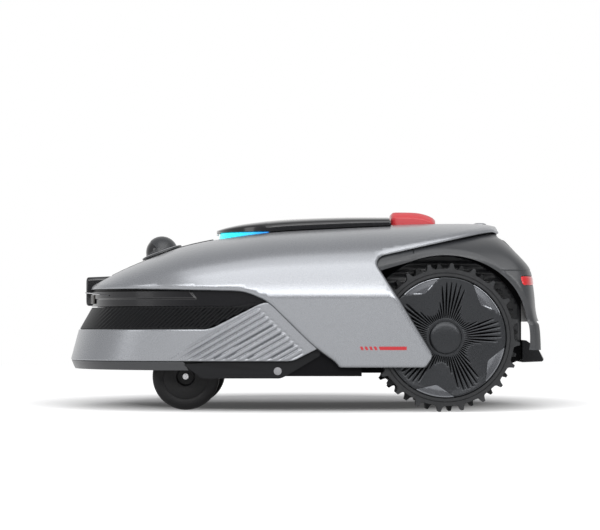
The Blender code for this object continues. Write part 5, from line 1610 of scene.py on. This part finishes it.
def caster_wheels():
    back = [(r, -h) for r, h in reversed(CASTER_PROFILE[CASTER_FACE:])]
    profile = CASTER_PROFILE + tuple(back) + CASTER_HUB
    for side_name, side in SIDES:
        name = "caster_wheel_" + side_name
        x, y, z = CASTER_AT
        piece("rubber_" + name, lathe(profile), "caster_rubber", name, (name,),
              place=wheel_place(x, side * y, z, side))


caster_wheels()

# %% [markdown]
# ## Lid
# The lid is a thin gloss-black cover that bulges a little over the shell. It could be a scaled copy of
# the shell's top. Its own section with a steeper shoulder gives the flat, glassy look of the real one.
# The sheet is carried down round a soft corner at the rear, so that it ends in a wall.

# %% Lid
LID_WALL = 0.003
LID_ROUNDING = 0.0004
LID_CORNER = 0.0025
LID_CENTRE = (0.0, 0.0, 0.20)
LID_NOSE_START = 0.0003
LID_STATIONS = 80
LID_LAST_STATION = 0.9985
LID_STATION_POWER = 1.6
LID_SHOULDER = 0.35
LID_SHOULDER_RISE = 0.75
LID_TOP_WIDTH = 0.75
LID_POINTS = (4, 28)
LID_TOP = ((-0.128, 0.2458), (-0.110, 0.2503), (-0.085, 0.2548), (-0.036, 0.2600), (0.044, 0.2632),
           (0.113, 0.2632))
LID_FRONT_EDGE = ((-0.128, 0.2421), (-0.054, 0.2423))
LID_OVERLAP = 0.002
LID_LIFT = 0.001


def rolled_end(ring, reach, floor, steps=7):
    """Further rings that carry the last ring of a sheet down to a floor height round a soft corner."""
    rows = []
    for angle in spread(0.0, math.pi / 2, steps)[1:]:
        drop = 1.0 - math.cos(angle)
        row = []
        for point in ring:
            z = point.z + (floor - point.z) * drop if point.z > floor else point.z
            row.append(Vector((point.x + reach * math.sin(angle), point.y, z)))
        rows.append(row)
    return rows


def lid_half(x):
    t = min(1.0, max(0.0, (LID_STRAIGHT_X - x) / (LID_STRAIGHT_X - LID_NOSE_X)))
    return LID_HALF * math.sqrt(1.0 - t ** LID_POWER)


def lid_edge(x):
    if x < STRIP_END_X:
        return between(LID_FRONT_EDGE, x)
    return shell_height(x, lid_half(x) - LID_OVERLAP) + LID_LIFT


def lid_ring(x):
    half = lid_half(x)
    edge = lid_edge(x)
    top = between(LID_TOP, x)
    shoulder = edge + (top - edge) * LID_SHOULDER
    handles = ((half, shoulder), (half, shoulder + (top - shoulder) * LID_SHOULDER_RISE),
               (half * LID_TOP_WIDTH, top), (0.0, top))
    below, above = LID_POINTS
    side = [(half, edge + (shoulder - edge) * t) for t in spread(0.0, 1.0, below)[:-1]]
    return mirrored(x, side + [cubic(handles, t) for t in spread(0.0, 1.0, above)])


def lid_shell():
    length = LID_REAR_X - LID_CORNER - LID_NOSE_X
    steps = [t ** LID_STATION_POWER for t in spread(0.0, LID_LAST_STATION, LID_STATIONS)]
    rows = [lid_ring(LID_NOSE_X + LID_NOSE_START + length * step) for step in steps]
    floor = min(point.z for point in rows[-1])
    rows += rolled_end(rows[-1], LID_CORNER, floor)
    shape = grid(rows)
    face_outwards(shape, LID_CENTRE)
    piece("lid_cover", shape, "gloss_black", "lid", ("control_lid",), wall=LID_WALL, rounding=LID_ROUNDING)


lid_shell()

# %% [markdown]
# ## Light strip
# Under the lid's front edge a clear strip glows. It could be a bent bar made with a Curve modifier. A
# loft along the lid's own outline, a short way inside it, fits without trial and leaves a notch for the
# lid's pin.

# %% Light strip
STRIP_Z = (0.2290, 0.2416)
STRIP_INSET = (0.0040, 0.0090)
STRIP_RINGS = 160
STRIP_ROUNDING = 0.0005
LID_LINE_STEPS = 90
PIN_GROOVE_Z = 0.2384
PIN_GROOVE_X = -0.1200
PIN_GROOVE_HALF = 0.016


def lid_line(inset):
    """The lid's outline from one side round the front to the other, drawn in by an inset."""
    outline = lid_plan(inset, STRIP_END_X, LID_LINE_STEPS)
    half = [Vector((x, y, 0.0)) for x, y in outline[:LID_LINE_STEPS + 1]]
    return even_count(both_sides(half), STRIP_RINGS)


def light_strip():
    rings = []
    for outer, inner in zip(*(lid_line(inset) for inset in STRIP_INSET)):
        pinned = outer.x < PIN_GROOVE_X and abs(outer.y) < PIN_GROOVE_HALF
        top = PIN_GROOVE_Z if pinned else STRIP_Z[1]
        corners = ((outer, STRIP_Z[0]), (outer, top), (inner, top), (inner, STRIP_Z[0]))
        rings.append([Vector((spot.x, spot.y, z)) for spot, z in corners])
    piece("glow_strip", loft(rings), "light_strip", "chassis", ("light_strip",),
          rounding=STRIP_ROUNDING)


light_strip()

# %% [markdown]
# ## Stop button
# The red button is a low wedge: steep in front, bevelled along both sides, falling to the rear. It
# could be cut from a box. Rings across it follow its measured line from the side, and a wider rounding
# on its edges makes the pale lines seen on moulded plastic.

# %% Stop button
STOP_TOP = ((0.1155, 0.2684), (0.1180, 0.2704), (0.1215, 0.2708), (0.1500, 0.2701), (0.1640, 0.2672),
            (0.1735, 0.2629), (0.1765, 0.2602))
STOP_WIDTH = ((0.1155, 0.0415), (0.1180, 0.0445), (0.1215, 0.0460), (0.1500, 0.0460), (0.1700, 0.0447),
              (0.1735, 0.0438), (0.1765, 0.0400))
STOP_SKIRT_Z = 0.2465
STOP_BEVEL = ((0.0, 0.0085), (0.0080, 0.0012), (0.0160, 0.0002))
STOP_FLAT = (0.45, 0.2)
STOP_FRONT_X = (0.1155, 0.1163, 0.1180)
STOP_MIDDLE_X = (0.1215, 0.1735)
STOP_MIDDLE_STATIONS = 22
STOP_REAR_X = (0.1752, 0.1765)
STOP_ROUNDING = 0.0009


def stop_ring(x):
    """A section across the button: skirt, bevel and flat top, and the same on the other side."""
    top = between(STOP_TOP, x)
    half = between(STOP_WIDTH, x)
    side = [(half, STOP_SKIRT_Z)]
    side += [(half - inset, top - drop) for inset, drop in STOP_BEVEL]
    side += [(half * t, top) for t in STOP_FLAT]
    return [Vector((x, y, z)) for y, z in side] + [Vector((x, -y, z)) for y, z in reversed(side)]


def stop_button():
    middle = spread(*STOP_MIDDLE_X, STOP_MIDDLE_STATIONS)
    shape = loft([stop_ring(x) for x in (*STOP_FRONT_X, *middle, *STOP_REAR_X)])
    piece("stop_cap", shape, "red_plastic", "stop_button", ("stop_button",), rounding=STOP_ROUNDING)


stop_button()

# %% [markdown]
# ## LiDAR on the hood
# A round dome sits on a ring that follows the slope of the hood. Most of the dome is a satin cap. Its
# front is cut open in a wedge, and the gloss-black window behind shows there. Two finishes on one
# sphere would have no edge between them. So the cap and the window are two sheets of nearly one sphere,
# parted along the wedge's outline.

# %% LiDAR dome
LIDAR_RADIUS = 0.0227
LIDAR_RISE = 0.0043
LIDAR_SEAT = 0.0059
DOME_GRID = (97, 30)
CAP_WALL = 0.0010
WINDOW_SINK = 0.0004
WINDOW_OVERLAP = 0.0006
WINDOW_WALL = 0.0006
WEDGE_AT = (-0.0054, 0.0052)
WEDGE_UP = math.radians(135.0)
WEDGE_DOWN = math.radians(211.0)
WEDGE_REACH = (0.08, 0.12)
WEDGE_ROUNDING = 0.0012


def dome_profile(radius):
    low = math.asin((LIDAR_SEAT - LIDAR_RISE) / radius)
    turns = spread(low, math.pi / 2, DOME_GRID[1])
    return [(radius * math.cos(a), LIDAR_RISE + radius * math.sin(a)) for a in turns]


def dome_sheet(radius):
    rows = [[(r * math.cos(a), r * math.sin(a), h) for a in spread(0.0, 2 * math.pi, DOME_GRID[0])]
            for r, h in dome_profile(radius)]
    shape = grid(rows)
    bmesh.ops.transform(shape, matrix=lidar_place(), verts=shape.verts)
    face_outwards(shape, lidar_place() @ Vector((0.0, 0.0, LIDAR_RISE)))
    return shape


def wedge_outline():
    """The wedge from the side: from its tip on the dome out past the front of the dome."""
    centre = lidar_place() @ Vector((0.0, 0.0, LIDAR_RISE))
    tip = Vector((centre.x + WEDGE_AT[0], centre.z + WEDGE_AT[1]))
    aside, ahead = WEDGE_REACH
    ends = [tip + aside * Vector((math.cos(a), math.sin(a))) for a in (WEDGE_UP, WEDGE_DOWN)]
    far = Vector((tip.x - ahead, tip.y))
    return rounded([tuple(tip), tuple(ends[0]), tuple(far), tuple(ends[1])], WEDGE_ROUNDING)


def lidar_dome():
    wedge = outline_field(wedge_outline())
    cap = dome_sheet(LIDAR_RADIUS)
    trim(cap, wedge)
    piece("lidar_cap", cap, "dark_grey", "chassis", ("lidar_dome",), wall=CAP_WALL)
    window = dome_sheet(LIDAR_RADIUS - WINDOW_SINK)
    trim(window, lambda verts: WINDOW_OVERLAP - wedge(verts))
    piece("lidar_window", window, "gloss_black", "chassis", wall=WINDOW_WALL)


lidar_dome()

# %% LiDAR seat
SEAT_PROFILE = ((0.0270, 0.0055), (0.0284, 0.0052), (0.0290, 0.0044), (0.0290, 0.0028), (LIDAR_NECK, 0.0026),
                (LIDAR_NECK, -0.0140), (0.0050, -0.0140), (0.0050, -0.0080), (0.0140, -0.0080),
                (0.0140, 0.0040), (0.0195, 0.0055))
TRIM_PROFILE = ((0.0241, 0.0055), (0.0246, 0.0060), (0.0262, 0.0060), (0.0268, 0.0055))

piece("lidar_seat", lathe(SEAT_PROFILE), "dark_grey", "chassis", ("lidar_base",), place=lidar_place())
piece("lidar_trim", lathe(TRIM_PROFILE), "steel", "chassis", place=lidar_place())

# %% [markdown]
# ## Camera at the nose
# The camera block is a rounded glossy box. A bevelled cube would do, but its front corners are rounder
# than the rest. Rings of a rounded rectangle, drawn in a little at the front, give both.

# %% Camera block
CAMERA_Z = (0.1405, 0.1816)
CAMERA_FRONT_TOP = 0.1802
CAMERA_FRONT = ((0.0, 0.0030), (0.0008, 0.0012), (0.0020, 0.0003), (0.0034, 0.0))
CAMERA_ROUNDING = 0.005


def camera_block():
    rings = []
    for past_front, inset in CAMERA_FRONT + ((CAMERA_X[1] - CAMERA_X[0], 0.0),):
        x = CAMERA_X[0] + past_front
        share = past_front / (CAMERA_X[1] - CAMERA_X[0])
        top = CAMERA_FRONT_TOP + (CAMERA_Z[1] - CAMERA_FRONT_TOP) * share - inset
        low = CAMERA_Z[0] + inset
        half = CAMERA_HALF - inset
        section = rounded(((-half, low), (half, low), (half, top), (-half, top)), CAMERA_ROUNDING)
        rings.append([Vector((x, y, z)) for y, z in section])
    piece("camera_block", loft(rings), "gloss_black", "chassis", ("camera_housing",))


camera_block()

# %% [markdown]
# ## Visor
# A thin plate runs round the nose in front of the camera like a visor and falls slightly to the rear.
# It could be a flat ring that is bent to fit. Drawn from the fascia's own outline, it follows the nose
# by itself. One bright line lies on each half of its edge.

# %% Visor plate
VISOR_TIP_X = -0.3126
VISOR_END_X = -0.2674
VISOR_END_REACH = 0.0012
VISOR_TIP_Z = 0.1592
VISOR_FALL = 0.125
VISOR_HALF_HEIGHT = 0.0007
VISOR_RINGS = 60
VISOR_POWER = 1.4
VISOR_GAP = 0.0002
VISOR_ROUNDING = 0.0003
VISOR_CAMERA_GAP = (0.0003, 0.001)
BRIGHT_X = (-0.3095, -0.2810)
BRIGHT_HALF_HEIGHT = 0.0004
BRIGHT_DEPTH = 0.0003


def visor_curves():
    """The plate's inner and outer edge from the middle of the nose to one end."""
    path = even_count([p for p in fascia_curve() if p.x < VISOR_END_X], VISOR_RINGS)
    last = VISOR_RINGS - 1
    before, beside = VISOR_CAMERA_GAP
    inner = []
    outer = []
    for i, spot in enumerate(path):
        narrowing = (1.0 - i / last) ** VISOR_POWER
        ahead = path[min(i + 1, last)] - path[max(i - 1, 0)]
        outward = Vector((-ahead.y, ahead.x, 0.0)).normalized()
        reach = VISOR_END_REACH + (FASCIA_NOSE_X - VISOR_TIP_X - VISOR_END_REACH) * narrowing
        near = spot + outward * VISOR_GAP
        if near.y < CAMERA_HALF + beside:
            near.x = min(near.x, CAMERA_X[0] - before)
        inner.append(near)
        outer.append(spot + outward * reach)
    return inner, outer


def visor_bar(inner, outer, half_height):
    """Rings of a flat bar between two edges, falling to the rear."""
    rings = []
    for near, far in zip(inner, outer):
        z = VISOR_TIP_Z - (far.x - VISOR_TIP_X) * VISOR_FALL
        low, high = z - half_height, z + half_height
        corners = ((far, low), (far, high), (near, high), (near, low))
        rings.append([Vector((spot.x, spot.y, level)) for spot, level in corners])
    return rings


def visor_plate():
    inner, outer = visor_curves()
    half = visor_bar(inner, outer, VISOR_HALF_HEIGHT)
    other = [[Vector((p.x, -p.y, p.z)) for p in ring] for ring in reversed(half[1:])]
    piece("visor_plate", loft(other + half), "dark_grey", "chassis", ("camera_visor",),
          rounding=VISOR_ROUNDING)
    line = [far for far in outer if BRIGHT_X[0] < far.x < BRIGHT_X[1]]
    behind = [far + Vector((BRIGHT_DEPTH, 0.0, 0.0)) for far in line]
    before = [far + Vector((-BRIGHT_DEPTH, BRIGHT_DEPTH, 0.0)) for far in line]
    bright = visor_bar(behind, before, BRIGHT_HALF_HEIGHT)
    for side_name, side in SIDES:
        flipped = [[Vector((p.x, side * p.y, p.z)) for p in ring] for ring in bright]
        piece("visor_line_" + side_name, loft(flipped), "steel", "chassis")


visor_plate()

# %% [markdown]
# ## Lens rings
# Two bright rings sit on the camera's window. A torus would look too round for them. A lens ring has a
# flat face and slanted edges, so a small profile is turned instead.

# %% Lens rings
LENS_Y = (-0.020, 0.020)
LENS_Z = 0.1705
LENS_FORWARD = 0.0006
LENS_PROFILE = ((0.0040, 0.0), (0.0040, 0.0006), (0.0046, 0.0010), (0.0054, 0.0010), (0.0058, 0.0))
SMALL_TURN = 48


def lens_rings():
    turn = Matrix.Rotation(-math.pi / 2, 4, "Y")
    for number, y in enumerate(LENS_Y):
        place = Matrix.Translation((CAMERA_X[0] - LENS_FORWARD, y, LENS_Z)) @ turn
        ring = lathe(LENS_PROFILE, SMALL_TURN)
        piece("lens_ring_" + str(number), ring, "steel", "chassis", place=place)


lens_rings()

# %% [markdown]
# ## Small details on the sides
# Each side plate has a round plug, and each side of the shell a red stripe with four slanted bars in
# front of it. The stripe could be painted on by a mask in the paint's finish. As thin bars of its own
# it keeps a crisp edge. The bars lie in the shell's lean side, so their corners are read from it and
# only lifted by a hair.

# %% Plugs and stripes
PLUG_AT = (-0.0405, 0.0537)
PLUG_FACE_Y = 0.1988
PLUG_PROFILE = ((0.0, 0.0010), (0.0030, 0.0009), (0.0046, 0.0006), (0.0052, 0.0001), (0.0052, -0.0010),
                (0.0, -0.0010))
STRIPE_Z = (0.0816, 0.0861)
STRIPE_X = (0.0918, 0.1286)
BARS_X = (0.0672, 0.0732, 0.0792, 0.0852)
BAR_WIDTH = 0.0034
BAR_LEAN = 0.0018
STRIPE_LIFT = (-0.0004, 0.0003)


def side_plugs():
    for side_name, side in SIDES:
        place = wheel_place(PLUG_AT[0], side * PLUG_FACE_Y, PLUG_AT[1], side)
        piece("plate_plug_" + side_name, lathe(PLUG_PROFILE, SMALL_TURN), "grey_plastic", "chassis",
              place=place)


def side_stripes():
    low, high = STRIPE_Z
    spans = [(x + BAR_LEAN, x + BAR_LEAN + BAR_WIDTH, x + BAR_WIDTH, x) for x in BARS_X]
    spans.append((STRIPE_X[0] + BAR_LEAN, STRIPE_X[1], STRIPE_X[1], STRIPE_X[0]))
    for side_name, side in SIDES:
        shape = bmesh.new()
        for a, b, c, d in spans:
            corners = ((a, low), (b, low), (c, high), (d, high))
            rings = [[shape.verts.new((x, side * (side_half(z) + lift), z)) for x, z in corners]
                     for lift in STRIPE_LIFT]
            for i in range(4):
                j = (i + 1) % 4
                shape.faces.new((rings[0][i], rings[0][j], rings[1][j], rings[1][i]))
            shape.faces.new(rings[0])
            shape.faces.new(rings[1])
        bmesh.ops.recalc_face_normals(shape, faces=shape.faces)
        piece("red_stripe_" + side_name, shape, "red_plastic", "chassis", look="stripe_red")


side_plugs()
side_stripes()

# %% [markdown]
# ## Floor
# The ground is white with a soft shadow. Brighter lamps would make a floor white, but they would also
# bleach the machine. So the floor is a plain pale sheet that a faint glow of its own brings to white. The
# glow stays faint in an oval round and behind the machine, so the floor there keeps a painted shadow on
# top of the shadow the lamps cast.

# %% Floor
FLOOR_REACH = 3.0
FLOOR_COLOUR = (0.48, 0.48, 0.48, 1.0)
FLOOR_ROUGHNESS = 0.9
PURE_WHITE = (1.0, 1.0, 1.0, 1.0)
PAINTED_SHADOW_OVAL = (0.36, 0.40)
PAINTED_SHADOW_CENTRE_Y = 0.18
PAINTED_SHADOW_EDGE = (0.70, 1.25)
FLOOR_GLOW = (0.06, 0.72)


def paper_floor():
    made = bpy.data.materials.new("floor_paper")
    made.use_nodes = True
    shader = made.node_tree.nodes["Principled BSDF"]
    shader.inputs["Base Color"].default_value = FLOOR_COLOUR
    shader.inputs["Roughness"].default_value = FLOOR_ROUGHNESS
    shader.inputs["Specular IOR Level"].default_value = 0.0
    shader.inputs["Emission Color"].default_value = PURE_WHITE
    tree = made.node_tree
    place = add_node(tree, "ShaderNodeTexCoord").outputs["Object"]
    oval = add_node(tree, "ShaderNodeVectorMath", operation="MULTIPLY_ADD")
    oval.inputs[1].default_value = (1.0 / PAINTED_SHADOW_OVAL[0], 1.0 / PAINTED_SHADOW_OVAL[1], 0.0)
    oval.inputs[2].default_value = (0.0, -PAINTED_SHADOW_CENTRE_Y / PAINTED_SHADOW_OVAL[1], 0.0)
    tree.links.new(place, oval.inputs[0])
    reach = add_node(tree, "ShaderNodeVectorMath", operation="LENGTH")
    tree.links.new(oval.outputs["Vector"], reach.inputs[0])
    # Little glow inside the oval leaves the floor grey there: a painted shadow round and behind the machine,
    # added to the one the lamps cast.
    glow = ramp_node(tree, reach.outputs["Value"], *PAINTED_SHADOW_EDGE, *FLOOR_GLOW)
    tree.links.new(glow, shader.inputs["Emission Strength"])
    corners = ((-1, -1), (1, -1), (1, 1), (-1, 1))
    mesh = bpy.data.meshes.new("floor")
    mesh.from_pydata([(x * FLOOR_REACH, y * FLOOR_REACH, 0.0) for x, y in corners], [], [(0, 1, 2, 3)])
    mesh.materials.append(made)
    sheet = bpy.data.objects.new("floor", mesh)
    bpy.context.scene.collection.objects.link(sheet)


paper_floor()
print("floor:", 2 * FLOOR_REACH, "m square")

# %% [markdown]
# ## Sky
# The world is what the paint mirrors. A plain white one would make silver look like chalk. This one is
# white behind the machine, where the camera looks, and dimmer elsewhere, so the paint has something
# darker to mirror. Diffuse light gets an even grey, so the shadows stay soft.

# %% Sky
SKY_WHITE_Y = (0.25, 0.80)
SKY_DIM_Y = (-0.70, -0.95)
SKY_PALE = (0.76, 0.76, 0.77, 1.0)
SKY_DIM = (0.26, 0.26, 0.27, 1.0)
SKY_EVEN = (0.50, 0.50, 0.51, 1.0)


def studio_sky():
    world = bpy.data.worlds.new("studio")
    world.use_nodes = True
    tree = world.node_tree
    look = add_node(tree, "ShaderNodeTexCoord").outputs["Generated"]
    split = add_node(tree, "ShaderNodeSeparateXYZ")
    tree.links.new(look, split.inputs["Vector"])
    behind = ramp_node(tree, split.outputs["Y"], *SKY_WHITE_Y, 0.0, 1.0)
    ahead = ramp_node(tree, split.outputs["Y"], *SKY_DIM_Y, 0.0, 1.0)
    sky = mix_node(tree, behind, SKY_PALE, PURE_WHITE)
    sky = mix_node(tree, ahead, sky, SKY_DIM)
    path = add_node(tree, "ShaderNodeLightPath")
    seen = add_node(tree, "ShaderNodeMath", operation="ADD", use_clamp=True)
    tree.links.new(path.outputs["Is Camera Ray"], seen.inputs[0])
    tree.links.new(path.outputs["Is Glossy Ray"], seen.inputs[1])
    through = add_node(tree, "ShaderNodeMath", operation="ADD", use_clamp=True)
    tree.links.new(seen.outputs[0], through.inputs[0])
    tree.links.new(path.outputs["Is Transmission Ray"], through.inputs[1])
    sky = mix_node(tree, through.outputs[0], SKY_EVEN, sky)
    tree.links.new(sky, tree.nodes["Background"].inputs["Color"])
    tree.nodes["Background"].inputs["Strength"].default_value = 1.0
    bpy.context.scene.world = world


studio_sky()
print("sky nodes:", len(bpy.context.scene.world.node_tree.nodes))

# %% [markdown]
# ## Lamps
# Wide area lamps stand in for the softboxes of a studio. A sun would be simpler, but its shadow is hard
# and it mirrors as a point. A wide lamp throws a soft shadow and draws a long gleam along the shell.

# %% Lamps


def softbox(name, at, towards, size, watts):
    data = bpy.data.lights.new(name, "AREA")
    data.shape = "RECTANGLE"
    data.size, data.size_y = size
    data.energy = watts
    lamp = bpy.data.objects.new(name, data)
    lamp.location = at
    lamp.rotation_euler = (Vector(towards) - Vector(at)).to_track_quat("-Z", "Y").to_euler()
    bpy.context.scene.collection.objects.link(lamp)
    print(name, watts, "W")


softbox("lamp_top", (0.2, -0.95, 2.6), (0.0, 0.0, 0.1), (3.0, 1.3), 16.0)
softbox("lamp_high", (0.3, -1.9, 2.0), (0.0, 0.0, 0.1), (3.0, 1.4), 27.0)
softbox("lamp_side", (0.0, -2.6, 1.02), (0.0, 0.0, 0.15), (3.2, 0.70), 40.0)
softbox("lamp_nose", (-2.2, -1.3, 0.8), (-0.2, 0.0, 0.12), (0.8, 1.2), 7.0)
